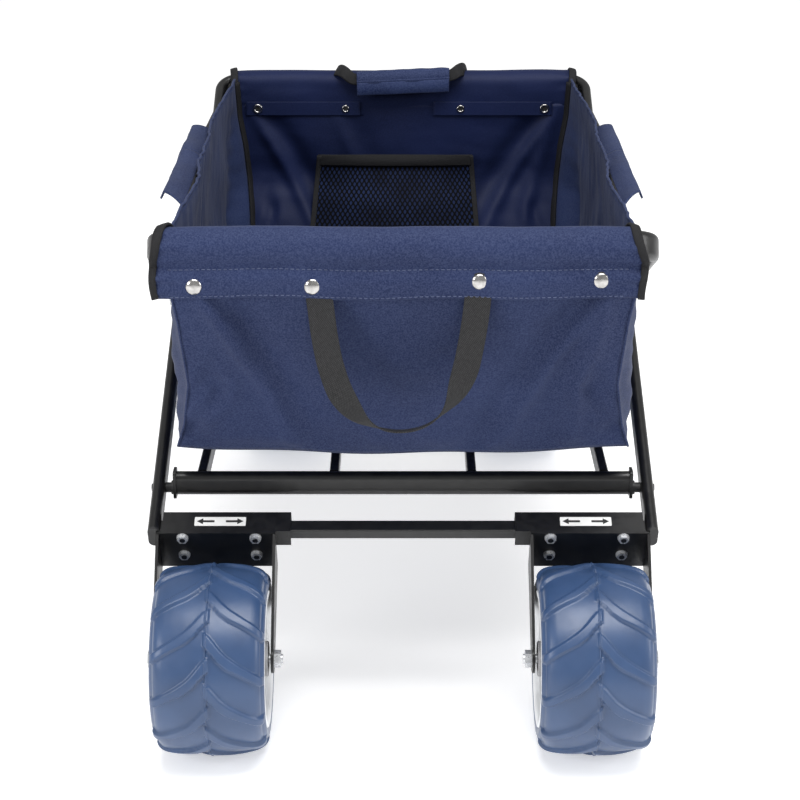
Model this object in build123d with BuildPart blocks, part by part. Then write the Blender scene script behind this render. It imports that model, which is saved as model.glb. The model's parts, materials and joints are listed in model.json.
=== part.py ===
from build123d import *
import math
import os

# Folding beach cart. Two crossing U-shaped tube frames carry a fabric basket between their upper
# cross tubes. The rear frame ends in an axle bar with two wheel carriages that slide on it, the
# front frame in an axle bar with two swivel casters and the pull handle.
# Millimetres, +Z up, floor at z = 0, +Y towards the pull handle. Dimensions are measured from under
# the frame pivot; each part is saved about the middle of the cart's length and width.

# ---- frame ----
BAR_Y = 324.0               # axle bars, from the middle of the cart
BAR_Z = 211.0
RIM_Y = 380.0               # upper cross tubes
RIM_Z = 540.0
TUBE_TALL = 28.0            # flat-oval leg tube
TUBE_WIDE = 13.0
TUBE_WALL = 1.5
REAR_LEG_X = 261.5          # tube centres
FRONT_LEG_X = 246.0
FAR_RIM_X = 240.0           # the rear frame narrows towards its rim
NECK_START = 255.0          # where it narrows, along the leg from the pivot
NECK_END = 345.0
NEAR_CORNER_R = 35.0
FAR_CORNER_R = 25.0
BAR_DEEP = 15.0             # axle bar section
BAR_TALL = 13.0
PIVOT_R = 4.0
RUN_FIT = 0.05              # radial clearance of a turning pin
LEG_TIP = 7.9               # leg beyond the axle bar's centre

RISE = RIM_Z - BAR_Z
RUN = RIM_Y + BAR_Y
SLOPE = math.atan2(RISE, RUN)
COS = math.cos(SLOPE)
SIN = math.sin(SLOPE)
PIVOT_Z = BAR_Z + BAR_Y * RISE / RUN
BAR_T = -BAR_Y / COS        # distances along a leg, from the pivot
RIM_T = RIM_Y / COS

# ---- floor frames ----
FLOOR_PIVOT_Y = 270.0
FLOOR_PIVOT_Z = PIVOT_Z - FLOOR_PIVOT_Y * RISE / RUN
CROSSBAR_Z = 241.6
CROSSBAR_TALL = 26.0
CROSSBAR_WIDE = 15.0
FLOOR_BAR_X = (74.0, 216.0)
FLOOR_BAR_WIDE = 10.0
FLOOR_BAR_TALL = 20.0
FLOOR_BAR_LAP = 14.0        # how far each bar runs past the middle
FLOOR_BAR_STEP = 12.0       # sideways step that lets the front bars pass the rear ones

# ---- wheels ----
WHEEL_R = 100.0
WHEEL_WIDE = 115.0
RIM_R = 64.0
BUSH_R = 10.0
AXLE_R = 5.0
REAR_WHEEL = (196.2, -403.0)
CASTER_X = 165.0
CASTER_Y = 465.0
CASTER_TRAIL = 25.0

# ---- wheel carriages ----
SHEET = 2.5
SLIDE_GAP = 0.5
CHANNEL_X = (118.0, 253.0)
CHANNEL_BACK = 16.0         # channel's inner face, from the axle bar's centre
CHANNEL_DEEP = 26.5
LIP_DROP = 44.0
FORK_SHEET = 3.0
ARM_X = (133.5, 256.0)
ARM_R = 15.0
NUT_ROWS = (3.0, -24.0)
NUT_X = (154.7, 231.2)
STUD_R = 3.0
STUD_LONG = 8.0
WASHER_R = 6.3
WASHER = 1.2
NUT_TALL = 3.2
MARKER = (54.0, 12.0, 0.4)

# ---- basket ----
BASKET_X = 232.0
SLEEVE_X = 222.0
CLOTH = 3.0
FLOOR_Z = 257.0
FLOOR_Y = 235.0
CHINE_Y = 310.0
CHINE_Z = 296.0
PANEL_TOP_Z = 520.0
PANEL_TOP_Y = 386.0
SIDE_TOP_Z = 548.0
SIDE_END_Y = 350.0
SLEEVE_TALL = 40.0
SLEEVE_THICK = 25.0
CORNER_CUT = 29.0           # radius cut out of the side panels round each rim corner

# ---- pull handle ----
HANDLE_Y = 414.0
HANDLE_Z = 236.0
HANDLE_TUBE = (26.0, 20.0, 14.0)
HANDLE_LONG = (230.0, 218.0, 224.0)
GRIP_LONG = 110.0

MIDDLE_Y = (CASTER_Y - CASTER_TRAIL + REAR_WHEEL[1]) / 2    # middle of the length over the wheels

os.makedirs("parts", exist_ok=True)


def save(name, part):
    placed = part.moved(Location((0, -MIDDLE_Y, 0)))
    placed.label = name
    export_step(placed, "parts/" + name + ".step")


# ---- planes ----
# A leg plane lies in the U of a frame: x across the cart, y up along the legs from the pivot.
# A section plane is seen from the side of the cart: x along the legs, y square to them.
PIVOT = (0, 0, PIVOT_Z)
REAR_U = Plane(origin=PIVOT, x_dir=(1, 0, 0), z_dir=(0, -SIN, COS))
FRONT_U = Plane(origin=PIVOT, x_dir=(-1, 0, 0), z_dir=(0, SIN, COS))
REAR_SECTION = Plane(origin=PIVOT, x_dir=(0, COS, SIN), z_dir=(1, 0, 0))
FRONT_SECTION = Plane(origin=PIVOT, x_dir=(0, -COS, SIN), z_dir=(-1, 0, 0))
SIDE = Plane.YZ             # x towards the front, y up
REAR_SIDE = Plane(origin=(0, 0, 0), x_dir=(0, -1, 0), z_dir=(-1, 0, 0))


def rear_point(t, n):
    """World (y, z) of a point t along the rear legs and n square to them."""
    return (t * COS - n * SIN, PIVOT_Z + t * SIN + n * COS)


def side_plane(x):
    """Plane facing +X at x, with its x along the cart and its y up."""
    return Plane(origin=(x, 0, 0), x_dir=(0, 1, 0), z_dir=(1, 0, 0))


# ---- leg frames ----
def leg_tube(name, plane, corners, corner_r, floor_x):
    """One bent flat-oval tube: leg, rim and leg, with holes for the frame and floor pivots."""
    with BuildPart() as tube:
        with BuildLine(plane) as path:
            FilletPolyline(*corners, radius=corner_r)
        start = Plane(origin=path.line @ 0, x_dir=plane.z_dir, z_dir=path.line % 0)
        with BuildSketch(start):
            SlotOverall(TUBE_TALL, TUBE_WIDE)
            offset(amount=-TUBE_WALL, mode=Mode.SUBTRACT)
        sweep()
        with BuildSketch(side_plane(-floor_x)):
            with Locations((0, PIVOT_Z)):
                Circle(PIVOT_R + RUN_FIT)
            floor_side = -1 if plane is REAR_U else 1
            with Locations((floor_side * FLOOR_PIVOT_Y, FLOOR_PIVOT_Z)):
                Circle(PIVOT_R + RUN_FIT)
        extrude(amount=2 * floor_x, mode=Mode.SUBTRACT)
    save(name, tube.part)


leg_end = BAR_T - LEG_TIP
REAR_PATH = [
    (REAR_LEG_X, leg_end),
    (REAR_LEG_X, NECK_START),
    (FAR_RIM_X, NECK_END),
    (FAR_RIM_X, RIM_T),
    (-FAR_RIM_X, RIM_T),
    (-FAR_RIM_X, NECK_END),
    (-REAR_LEG_X, NECK_START),
    (-REAR_LEG_X, leg_end),
]
FRONT_PATH = [
    (FRONT_LEG_X, leg_end),
    (FRONT_LEG_X, RIM_T),
    (-FRONT_LEG_X, RIM_T),
    (-FRONT_LEG_X, leg_end),
]
leg_tube("rear_leg_tube", REAR_U, REAR_PATH, FAR_CORNER_R, REAR_LEG_X + TUBE_WIDE)
leg_tube("front_leg_tube", FRONT_U, FRONT_PATH, NEAR_CORNER_R, FRONT_LEG_X + TUBE_WIDE)


def axle_bar(name, section, half_long):
    """Rectangular tube welded between the lower ends of the legs."""
    with BuildPart() as bar:
        with BuildSketch(section):
            with Locations((BAR_T, 0)):
                RectangleRounded(BAR_DEEP, BAR_TALL, 1.5)
                Rectangle(BAR_DEEP - 3, BAR_TALL - 3, mode=Mode.SUBTRACT)
        extrude(amount=half_long, both=True)
    save(name, bar.part)
    return bar.part


rear_bar = axle_bar("rear_axle_bar", REAR_SECTION, REAR_LEG_X - TUBE_WIDE / 2)
front_bar = axle_bar("front_axle_bar", FRONT_SECTION, FRONT_LEG_X - TUBE_WIDE / 2)


def leg_plugs(name, plane, leg_x):
    """Plastic plugs in the open lower ends of the legs, each with a domed cap."""
    cap = 2.5
    with BuildPart() as plugs:
        for x in (-leg_x, leg_x):
            with BuildSketch(Plane(origin=plane.from_local_coords((x, leg_end, 0)),
                                   x_dir=plane.z_dir, z_dir=-plane.y_dir)):
                SlotOverall(TUBE_TALL, TUBE_WIDE)
            extrude(amount=cap)
            with BuildSketch(Plane(origin=plane.from_local_coords((x, leg_end, 0)),
                                   x_dir=plane.z_dir, z_dir=plane.y_dir)):
                SlotOverall(TUBE_TALL - 2 * TUBE_WALL - 0.2, TUBE_WIDE - 2 * TUBE_WALL - 0.2)
            extrude(amount=8)
    save(name, plugs.part)


leg_plugs("rear_leg_plugs", REAR_U, REAR_LEG_X)
leg_plugs("front_leg_plugs", FRONT_U, FRONT_LEG_X)


# ---- frame pivot ----
def pivot_bolts(name, y, z, head_x, end_x, head_side):
    """A hex-headed bolt on each side; the shank runs along X from the head to end_x."""
    with BuildPart() as bolts:
        for side in (-1, 1):
            with BuildSketch(side_plane(side * head_x)):
                with Locations((y, z)):
                    Circle(PIVOT_R)
            extrude(amount=side * (end_x - head_x))
            with BuildSketch(side_plane(side * head_x)):
                with Locations((y, z)):
                    Circle(8.5)
            extrude(amount=side * head_side * 1.5)
            with BuildSketch(side_plane(side * (head_x + head_side * 1.5))):
                with Locations((y, z)):
                    RegularPolygon(6.5, 6, major_radius=False)
            extrude(amount=side * head_side * 5)
            with BuildSketch(side_plane(side * end_x)):
                with Locations((y, z)):
                    RegularPolygon(6.5, 6, major_radius=False)
            extrude(amount=-side * head_side * 6)
    save(name, bolts.part)


rear_outer = REAR_LEG_X + TUBE_WIDE / 2
rear_inner = REAR_LEG_X - TUBE_WIDE / 2
front_outer = FRONT_LEG_X + TUBE_WIDE / 2
front_inner = FRONT_LEG_X - TUBE_WIDE / 2
pivot_bolts("frame_pivot_bolts", 0, PIVOT_Z, rear_outer + 0.2, front_inner - 0.2, 1)

with BuildPart() as spacers:
    for side in (-1, 1):
        with BuildSketch(side_plane(side * (front_outer + 0.1))):
            with Locations((0, PIVOT_Z)):
                Circle(12)
                Circle(PIVOT_R + 0.02, mode=Mode.SUBTRACT)
        extrude(amount=side * (rear_inner - front_outer - 0.2))
save("frame_pivot_spacers", spacers.part)


# ---- floor frames ----
def floor_frame(prefix, end, leg_inner, bar_shift):
    """Crossbar pivoted between the legs of one frame, with four bars to the middle."""
    y = end * FLOOR_PIVOT_Y
    tube_end = leg_inner - 12
    with BuildPart() as crossbar:
        with BuildSketch(side_plane(-tube_end)):
            with Locations((y, CROSSBAR_Z)):
                SlotOverall(CROSSBAR_TALL, CROSSBAR_WIDE, rotation=90)
                SlotOverall(CROSSBAR_TALL - 3, CROSSBAR_WIDE - 3, rotation=90, mode=Mode.SUBTRACT)
        extrude(amount=2 * tube_end)
        for side in (-1, 1):
            with BuildSketch(side_plane(side * tube_end)):
                with Locations((y, CROSSBAR_Z)):
                    RectangleRounded(CROSSBAR_WIDE + 4, CROSSBAR_TALL + 5, 3)
                with Locations((y, FLOOR_PIVOT_Z)):
                    Circle(PIVOT_R + RUN_FIT, mode=Mode.SUBTRACT)
            extrude(amount=side * 3)
    save(prefix + "_floor_crossbar", crossbar.part)

    with BuildPart() as bars:
        start = y - end * (CROSSBAR_WIDE / 2 + 0.02)
        stop = end * -FLOOR_BAR_LAP
        for x0 in FLOOR_BAR_X:
            for side in (-1, 1):
                x = side * (x0 + (bar_shift if x0 == FLOOR_BAR_X[0] else -bar_shift))
                low = CROSSBAR_Z + CROSSBAR_TALL / 2 - 1 - FLOOR_BAR_TALL
                with BuildSketch(Plane(origin=(x, start, low + FLOOR_BAR_TALL / 2),
                                       x_dir=(1, 0, 0), z_dir=(0, -end, 0))):
                    RectangleRounded(FLOOR_BAR_WIDE, FLOOR_BAR_TALL, 2)
                    Rectangle(FLOOR_BAR_WIDE - 3, FLOOR_BAR_TALL - 3, mode=Mode.SUBTRACT)
                extrude(amount=abs(stop - start))
    save(prefix + "_floor_bars", bars.part)

    with BuildPart() as bolts:
        for side in (-1, 1):
            shank_start = tube_end - 9
            with BuildSketch(side_plane(side * shank_start)):
                with Locations((y, FLOOR_PIVOT_Z)):
                    Circle(PIVOT_R)
            extrude(amount=side * (leg_inner + TUBE_WIDE + 2 - shank_start))
            with BuildSketch(side_plane(side * (tube_end + 3.1))):
                with Locations((y, FLOOR_PIVOT_Z)):
                    Circle(7.5)
            extrude(amount=side * 2.5)
            with BuildSketch(side_plane(side * (tube_end + 5.6))):
                with Locations((y, FLOOR_PIVOT_Z)):
                    Circle(5.5)
            extrude(amount=side * 6.2)
            with BuildSketch(side_plane(side * shank_start)):
                with Locations((y, FLOOR_PIVOT_Z)):
                    Circle(5)
            extrude(amount=side * 5)
    save(prefix + "_floor_bolts", bolts.part)


floor_frame("rear", -1, rear_inner, 0)
floor_frame("front", 1, front_inner, FLOOR_BAR_STEP)


# ---- wheels ----
def tyre_skin(half, inset):
    """One skin of the tyre, from bore to bore: sidewalls, rounded shoulders and a low crown."""
    side = half - inset
    shoulder = (half - 18, WHEEL_R - 3.5 - inset)
    Polyline((-side + 8, RIM_R), (-side, RIM_R + 8), (-side, RIM_R + 18))
    ThreePointArc((-side, RIM_R + 18), (-side + 6, WHEEL_R - 9 - inset * 0.8), (-shoulder[0], shoulder[1]))
    ThreePointArc((-shoulder[0], shoulder[1]), (0, WHEEL_R - inset), shoulder)
    ThreePointArc(shoulder, (side - 6, WHEEL_R - 9 - inset * 0.8), (side, RIM_R + 18))
    Polyline((side, RIM_R + 18), (side, RIM_R + 8), (side - 8, RIM_R))


def wheel(prefix, x, y):
    """Blow-moulded tyre shell on a spoked plastic rim, with a bush in each end of its hub."""
    centre = Plane(origin=(x, y, WHEEL_R), x_dir=(1, 0, 0), z_dir=(0, -1, 0))
    half = WHEEL_WIDE / 2
    shell = 4.0
    with BuildPart() as tyre:
        with BuildSketch(centre):
            with BuildLine():
                tyre_skin(half, 0)
                tyre_skin(half, shell)
                for lip in (-1, 1):
                    Line((lip * (half - 8), RIM_R), (lip * (half - 8 - shell), RIM_R))
            make_face()
        revolve(axis=Axis((x, y, WHEEL_R), (1, 0, 0)))
    save(prefix + "_tyre", tyre.part)

    barrel = half - 6
    hub = half - 1
    with BuildPart() as rim:
        with BuildSketch(centre):
            with Locations((0, RIM_R - 2)):
                Rectangle(2 * barrel, 4)
            with Locations((0, (RIM_R + BUSH_R) / 2)):
                Rectangle(6, RIM_R - BUSH_R - 2)
            with Locations((0, BUSH_R + 4)):
                Rectangle(2 * hub, 8)
        revolve(axis=Axis((x, y, WHEEL_R), (1, 0, 0)))
        with BuildSketch(side_plane(x - 3.5)):
            with Locations((y, WHEEL_R)):
                with PolarLocations(40, 6):
                    Circle(10)
        extrude(amount=7, mode=Mode.SUBTRACT)
    save(prefix + "_rim", rim.part)

    with BuildPart() as bushes:
        for side in (-1, 1):
            with BuildSketch(side_plane(x + side * (hub + 0.5))):
                with Locations((y, WHEEL_R)):
                    Circle(BUSH_R - 0.02)
                    Circle(AXLE_R + RUN_FIT, mode=Mode.SUBTRACT)
            extrude(amount=-side * 20)
    save(prefix + "_bushes", bushes.part)


def axle_bolt(name, x_head, x_nut, y):
    """Axle through both fork arms, from its head outside one to its nut outside the other."""
    out = 1 if x_head > x_nut else -1
    with BuildPart() as bolt:
        with BuildSketch(side_plane(x_nut - out * 9)):
            with Locations((y, WHEEL_R)):
                Circle(AXLE_R)
        extrude(amount=x_head - x_nut + out * 9)
        with BuildSketch(side_plane(x_head)):
            with Locations((y, WHEEL_R)):
                RegularPolygon(8, 6, major_radius=False)
        extrude(amount=out * 5)
        with BuildSketch(side_plane(x_nut)):
            with Locations((y, WHEEL_R)):
                RegularPolygon(8, 6, major_radius=False)
        extrude(amount=-out * 7)
    save(name, bolt.part)


# ---- rear wheel carriages ----
def carriage(prefix, side):
    """Steel channel that slides along the axle bar, its fork, nuts and marker plate."""
    back = BAR_T + CHANNEL_BACK
    front = back - CHANNEL_DEEP
    top = BAR_TALL / 2 + SLIDE_GAP
    long = CHANNEL_X[1] - CHANNEL_X[0]
    channel_plane = REAR_SECTION.offset(side * CHANNEL_X[0])
    with BuildPart() as body:
        with BuildSketch(channel_plane):
            with BuildLine():
                Polyline(
                    (front, -LIP_DROP), (front, top + SHEET), (back, top + SHEET),
                    (back, -top - SHEET), (back - 12, -top - SHEET), (back - 12, -top),
                    (back - SHEET, -top), (back - SHEET, top), (front + SHEET, top),
                    (front + SHEET, -LIP_DROP), close=True)
            make_face()
        extrude(amount=side * long)
        with BuildSketch(channel_plane):
            with Locations((front, -LIP_DROP / 2 - BAR_TALL)):
                Rectangle(3 * SHEET, LIP_DROP)
        extrude(amount=side * (ARM_X[0] + FORK_SHEET - CHANNEL_X[0]), mode=Mode.SUBTRACT)
        for n in NUT_ROWS:
            for x in NUT_X:
                stud_foot = REAR_SECTION.from_local_coords((front, n, side * x))
                with BuildSketch(Plane(origin=stud_foot, x_dir=(1, 0, 0), z_dir=(0, -COS, -SIN))):
                    Circle(STUD_R)
                extrude(amount=STUD_LONG)
    save(prefix + "_carriage", body.part)

    web_front = front - FORK_SHEET
    wheel_y = REAR_WHEEL[1]
    web_top = rear_point(front, top + SHEET)
    web_low = rear_point(front, -LIP_DROP)
    reach = Vector(wheel_y - web_low[0], WHEEL_R - web_low[1]).normalized()
    across = Vector(-reach.Y, reach.X) * ARM_R
    with BuildPart() as fork:
        with BuildSketch(REAR_SECTION.offset(side * ARM_X[0])):
            with Locations(((front + web_front) / 2, (top + SHEET - LIP_DROP) / 2)):
                Rectangle(FORK_SHEET, top + SHEET + LIP_DROP)
        extrude(amount=side * (ARM_X[1] + FORK_SHEET - ARM_X[0]))
        for x in ARM_X:
            with BuildSketch(side_plane(side * x)):
                with BuildLine():
                    Polyline(web_top, web_low, (wheel_y + across.X, WHEEL_R + across.Y),
                             (wheel_y - across.X, WHEEL_R - across.Y), close=True)
                make_face()
                with Locations((wheel_y, WHEEL_R)):
                    Circle(ARM_R)
                    Circle(AXLE_R + 0.02, mode=Mode.SUBTRACT)
            extrude(amount=side * FORK_SHEET)
        for n in NUT_ROWS:
            for x in NUT_X:
                hole_at = REAR_SECTION.from_local_coords((front + 0.5, n, side * x))
                with BuildSketch(Plane(origin=hole_at, x_dir=(1, 0, 0), z_dir=(0, -COS, -SIN))):
                    Circle(STUD_R + 0.05)
                extrude(amount=FORK_SHEET + 1, mode=Mode.SUBTRACT)
    save(prefix + "_fork", fork.part)

    with BuildPart() as nuts:
        for n in NUT_ROWS:
            for x in NUT_X:
                seat = REAR_SECTION.from_local_coords((web_front - 0.02, n, side * x))
                seat_plane = Plane(origin=seat, x_dir=(1, 0, 0), z_dir=(0, -COS, -SIN))
                with BuildSketch(seat_plane):
                    Circle(WASHER_R)
                    Circle(STUD_R + 0.03, mode=Mode.SUBTRACT)
                extrude(amount=WASHER)
                with BuildSketch(seat_plane.offset(WASHER)):
                    RegularPolygon(5, 6, major_radius=False)
                    Circle(STUD_R + 0.03, mode=Mode.SUBTRACT)
                extrude(amount=NUT_TALL)
    save(prefix + "_fork_nuts", nuts.part)

    with BuildPart() as marker:
        mark_at = REAR_SECTION.from_local_coords(((front + back) / 2, top + SHEET + 0.05,
                                                  side * (CHANNEL_X[0] + 0.55 * long)))
        with BuildSketch(Plane(origin=mark_at, x_dir=(1, 0, 0), z_dir=(0, -SIN, COS))):
            RectangleRounded(MARKER[0], MARKER[1], 1)
        extrude(amount=MARKER[2])
    save(prefix + "_marker", marker.part)
    axle_bolt(prefix + "_axle", side * (ARM_X[1] + FORK_SHEET + 0.1), side * (ARM_X[0] - 0.1), wheel_y)
    wheel(prefix + "_wheel", side * REAR_WHEEL[0], wheel_y)


carriage("rear_left", -1)
carriage("rear_right", 1)


# ---- front casters ----
CROWN_LOW = 203.0
CROWN_HIGH = 209.0
PLATE_LOW = 213.0
PLATE_HIGH = 217.0
STEM_R = 8.0
BOSS_TOP = 246.0
CASTER_ARM = WHEEL_WIDE / 2 + 3


with BuildPart() as brackets:
    for side in (-1, 1):
        with BuildSketch(Plane.XY.offset(PLATE_LOW)):
            with Locations((side * CASTER_X, (BAR_Y + CASTER_Y) / 2)):
                Rectangle(52, CASTER_Y - BAR_Y)
            with Locations((side * CASTER_X, CASTER_Y)):
                Circle(26)
            with Locations((side * CASTER_X, CASTER_Y)):
                Circle(STEM_R + RUN_FIT, mode=Mode.SUBTRACT)
        extrude(amount=PLATE_HIGH - PLATE_LOW)
        with BuildSketch(Plane.XY.offset(PLATE_HIGH)):
            with Locations((side * CASTER_X, CASTER_Y)):
                Circle(15)
                Circle(STEM_R + RUN_FIT, mode=Mode.SUBTRACT)
        extrude(amount=BOSS_TOP - PLATE_HIGH)
        for edge in (-24, 21):
            with BuildSketch(side_plane(side * CASTER_X + edge)):
                with BuildLine():
                    Polyline((BAR_Y, PLATE_LOW), (CASTER_Y - 6, PLATE_LOW),
                             (CASTER_Y - 6, PLATE_HIGH + 4), (BAR_Y + 16, BOSS_TOP - 8),
                             (BAR_Y, BOSS_TOP - 8), close=True)
                make_face()
            extrude(amount=3)
    bar_space = Plane(origin=FRONT_SECTION.from_local_coords((BAR_T, 0, 0)),
                      x_dir=(1, 0, 0), z_dir=(0, SIN, COS))
    with BuildSketch(bar_space.offset(-60)):
        with Locations((0, -25 + BAR_DEEP / 2)):
            Rectangle(600, 50)
    extrude(amount=60 + BAR_TALL / 2, mode=Mode.SUBTRACT)
save("caster_brackets", brackets.part)


def caster(prefix, side):
    """Swivel fork whose stem turns in the bracket's boss, with its wheel trailing behind."""
    x0 = side * CASTER_X
    wheel_y = CASTER_Y - CASTER_TRAIL
    with BuildPart() as fork:
        with BuildSketch(Plane.XY.offset(CROWN_LOW)):
            with Locations((x0, CASTER_Y)):
                RectangleRounded(2 * CASTER_ARM + 2 * FORK_SHEET, 50, 4)
        extrude(amount=CROWN_HIGH - CROWN_LOW)
        with BuildSketch(Plane.XY.offset(CROWN_HIGH)):
            with Locations((x0, CASTER_Y)):
                Circle(15)
        extrude(amount=PLATE_LOW - CROWN_HIGH - 0.1)
        with BuildSketch(Plane.XY.offset(CROWN_HIGH)):
            with Locations((x0, CASTER_Y)):
                Circle(STEM_R)
        extrude(amount=BOSS_TOP + 4 - CROWN_HIGH)
        with BuildSketch(Plane.XY.offset(BOSS_TOP + 0.1)):
            with Locations((x0, CASTER_Y)):
                RegularPolygon(11, 6, major_radius=False)
        extrude(amount=7)
        for arm_side in (-1, 1):
            with BuildSketch(side_plane(x0 + arm_side * CASTER_ARM)):
                with BuildLine():
                    Polyline((CASTER_Y - 22, CROWN_HIGH - 1), (CASTER_Y + 22, CROWN_HIGH - 1),
                             (wheel_y + ARM_R, WHEEL_R), (wheel_y - ARM_R, WHEEL_R), close=True)
                make_face()
                with Locations((wheel_y, WHEEL_R)):
                    Circle(ARM_R)
                    Circle(AXLE_R + 0.02, mode=Mode.SUBTRACT)
            extrude(amount=arm_side * FORK_SHEET)
    save(prefix + "_caster_fork", fork.part)
    outer = x0 + side * (CASTER_ARM + FORK_SHEET + 0.1)
    inner = x0 - side * (CASTER_ARM + FORK_SHEET + 0.1)
    axle_bolt(prefix + "_axle", outer, inner, wheel_y)
    wheel(prefix + "_wheel", x0, wheel_y)


caster("front_left", -1)
caster("front_right", 1)


# ---- pull handle ----
with BuildPart() as handle_bracket:
    for side in (-1, 1):
        with BuildSketch(side_plane(side * 16)):
            with BuildLine():
                Polyline((BAR_Y - 6, BAR_Z - 4), (BAR_Y + 40, BAR_Z - 4), (HANDLE_Y + 8, HANDLE_Z - 9),
                         (HANDLE_Y - 8, HANDLE_Z + 9), (BAR_Y + 10, BAR_Z + 18),
                         (BAR_Y - 6, BAR_Z + 18), close=True)
            make_face()
            with Locations((HANDLE_Y, HANDLE_Z)):
                Circle(12)
                Circle(PIVOT_R + RUN_FIT, mode=Mode.SUBTRACT)
        extrude(amount=side * 4)
    with BuildSketch(bar_space.offset(-60)):
        with Locations((0, -25 + BAR_DEEP / 2)):
            Rectangle(600, 50)
    extrude(amount=60 + BAR_TALL / 2, mode=Mode.SUBTRACT)
save("handle_bracket", handle_bracket.part)

with BuildPart() as handle_bolt:
    with BuildSketch(side_plane(-24)):
        with Locations((HANDLE_Y, HANDLE_Z)):
            Circle(PIVOT_R)
    extrude(amount=48)
    for side in (-1, 1):
        with BuildSketch(side_plane(side * 20.1)):
            with Locations((HANDLE_Y, HANDLE_Z)):
                RegularPolygon(6.5, 6, major_radius=False)
        extrude(amount=side * 6)
save("handle_bolt", handle_bolt.part)

handle_low = HANDLE_Z - 10
with BuildPart() as handle_outer:
    with BuildSketch(Plane.XY.offset(handle_low)):
        with Locations((0, HANDLE_Y)):
            RectangleRounded(HANDLE_TUBE[0], HANDLE_TUBE[0] * 0.8, 3)
            RectangleRounded(HANDLE_TUBE[1] + 0.4, HANDLE_TUBE[1] * 0.8 + 0.4, 2, mode=Mode.SUBTRACT)
    extrude(amount=HANDLE_LONG[0])
    for side in (-1, 1):
        with BuildSketch(side_plane(side * HANDLE_TUBE[0] / 2)):
            with Locations((HANDLE_Y, HANDLE_Z)):
                Circle(9)
        extrude(amount=side * 2.8)
    with BuildSketch(side_plane(-20)):
        with Locations((HANDLE_Y, HANDLE_Z)):
            Circle(PIVOT_R + RUN_FIT)
    extrude(amount=40, mode=Mode.SUBTRACT)
save("handle_outer_tube", handle_outer.part)

middle_low = HANDLE_Z + 8
with BuildPart() as handle_middle:
    with BuildSketch(Plane.XY.offset(middle_low)):
        with Locations((0, HANDLE_Y)):
            RectangleRounded(HANDLE_TUBE[1], HANDLE_TUBE[1] * 0.8, 2)
            RectangleRounded(HANDLE_TUBE[2] + 0.4, HANDLE_TUBE[2] * 0.8 + 0.4, 2, mode=Mode.SUBTRACT)
    extrude(amount=HANDLE_LONG[1])
save("handle_middle_tube", handle_middle.part)

inner_low = middle_low + 4
with BuildPart() as handle_inner:
    with BuildSketch(Plane.XY.offset(inner_low)):
        with Locations((0, HANDLE_Y)):
            RectangleRounded(HANDLE_TUBE[2], HANDLE_TUBE[2] * 0.8, 2)
    extrude(amount=HANDLE_LONG[2])
save("handle_inner_tube", handle_inner.part)

grip_z = inner_low + HANDLE_LONG[2] + 12
with BuildPart() as handle_grip:
    with BuildSketch(side_plane(-GRIP_LONG / 2)):
        with Locations((HANDLE_Y, grip_z)):
            SlotOverall(30, 24)
    extrude(amount=GRIP_LONG)
    fillet(handle_grip.edges().group_by(Axis.X)[0] + handle_grip.edges().group_by(Axis.X)[-1], 6)
save("handle_grip", handle_grip.part)


# ---- basket ----
def half_profile(inset, side_top):
    """Side view of half the basket: floor, slanting chine, end panel and top edge."""
    end_top = PANEL_TOP_Y - inset * 1.1
    return [
        (1, FLOOR_Z + inset), (FLOOR_Y, FLOOR_Z + inset), (CHINE_Y - inset, CHINE_Z + inset * 0.6),
        (end_top, PANEL_TOP_Z), (SIDE_END_Y, side_top), (1, side_top),
    ]


def basket_half(name, plane, tube_section):
    """Half of the fabric basket, open at the top and at the middle, sleeved on its rim tube."""
    with BuildPart() as half:
        with BuildSketch(plane):
            with BuildLine():
                Polyline(*half_profile(0, SIDE_TOP_Z), close=True)
            make_face()
        extrude(amount=BASKET_X, both=True)
        with BuildSketch(plane):
            with BuildLine():
                Polyline(*half_profile(CLOTH, SIDE_TOP_Z + 1), close=True)
            make_face()
            with Locations((0, (FLOOR_Z + SIDE_TOP_Z) / 2 + CLOTH)):
                Rectangle(10, SIDE_TOP_Z - FLOOR_Z)
        extrude(amount=BASKET_X - CLOTH, both=True, mode=Mode.SUBTRACT)
        with BuildSketch(tube_section):
            with Locations((RIM_T, 0)):
                SlotOverall(SLEEVE_TALL, SLEEVE_THICK, rotation=90)
        extrude(amount=SLEEVE_X, both=True)
        with BuildSketch(tube_section):
            with Locations((RIM_T, 0)):
                SlotOverall(TUBE_TALL + 5, TUBE_WIDE + 5, rotation=90)
        extrude(amount=BASKET_X + 5, both=True, mode=Mode.SUBTRACT)
        for side in (-1, 1):
            with BuildSketch(tube_section.offset(side * SLEEVE_X)):
                with Locations((RIM_T, 0)):
                    Circle(CORNER_CUT)
            extrude(amount=side * 20, mode=Mode.SUBTRACT)
    save(name, half.part)


basket_half("basket_rear", REAR_SIDE, FRONT_SECTION)
basket_half("basket_front", SIDE, REAR_SECTION)


def rim_bindings(name, tube_section):
    """Bound ends of the rim sleeve, one at each corner."""
    with BuildPart() as bindings:
        for side in (-1, 1):
            with BuildSketch(tube_section.offset(side * (SLEEVE_X + 0.5))):
                with Locations((RIM_T - 1, 0)):
                    SlotOverall(SLEEVE_TALL + 6, SLEEVE_THICK + 6, rotation=90)
                    SlotOverall(SLEEVE_TALL + 1, SLEEVE_THICK + 1, rotation=90, mode=Mode.SUBTRACT)
            extrude(amount=side * 5)
    save(name, bindings.part)


rim_bindings("rim_bindings_near", FRONT_SECTION)
rim_bindings("rim_bindings_far", REAR_SECTION)


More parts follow.
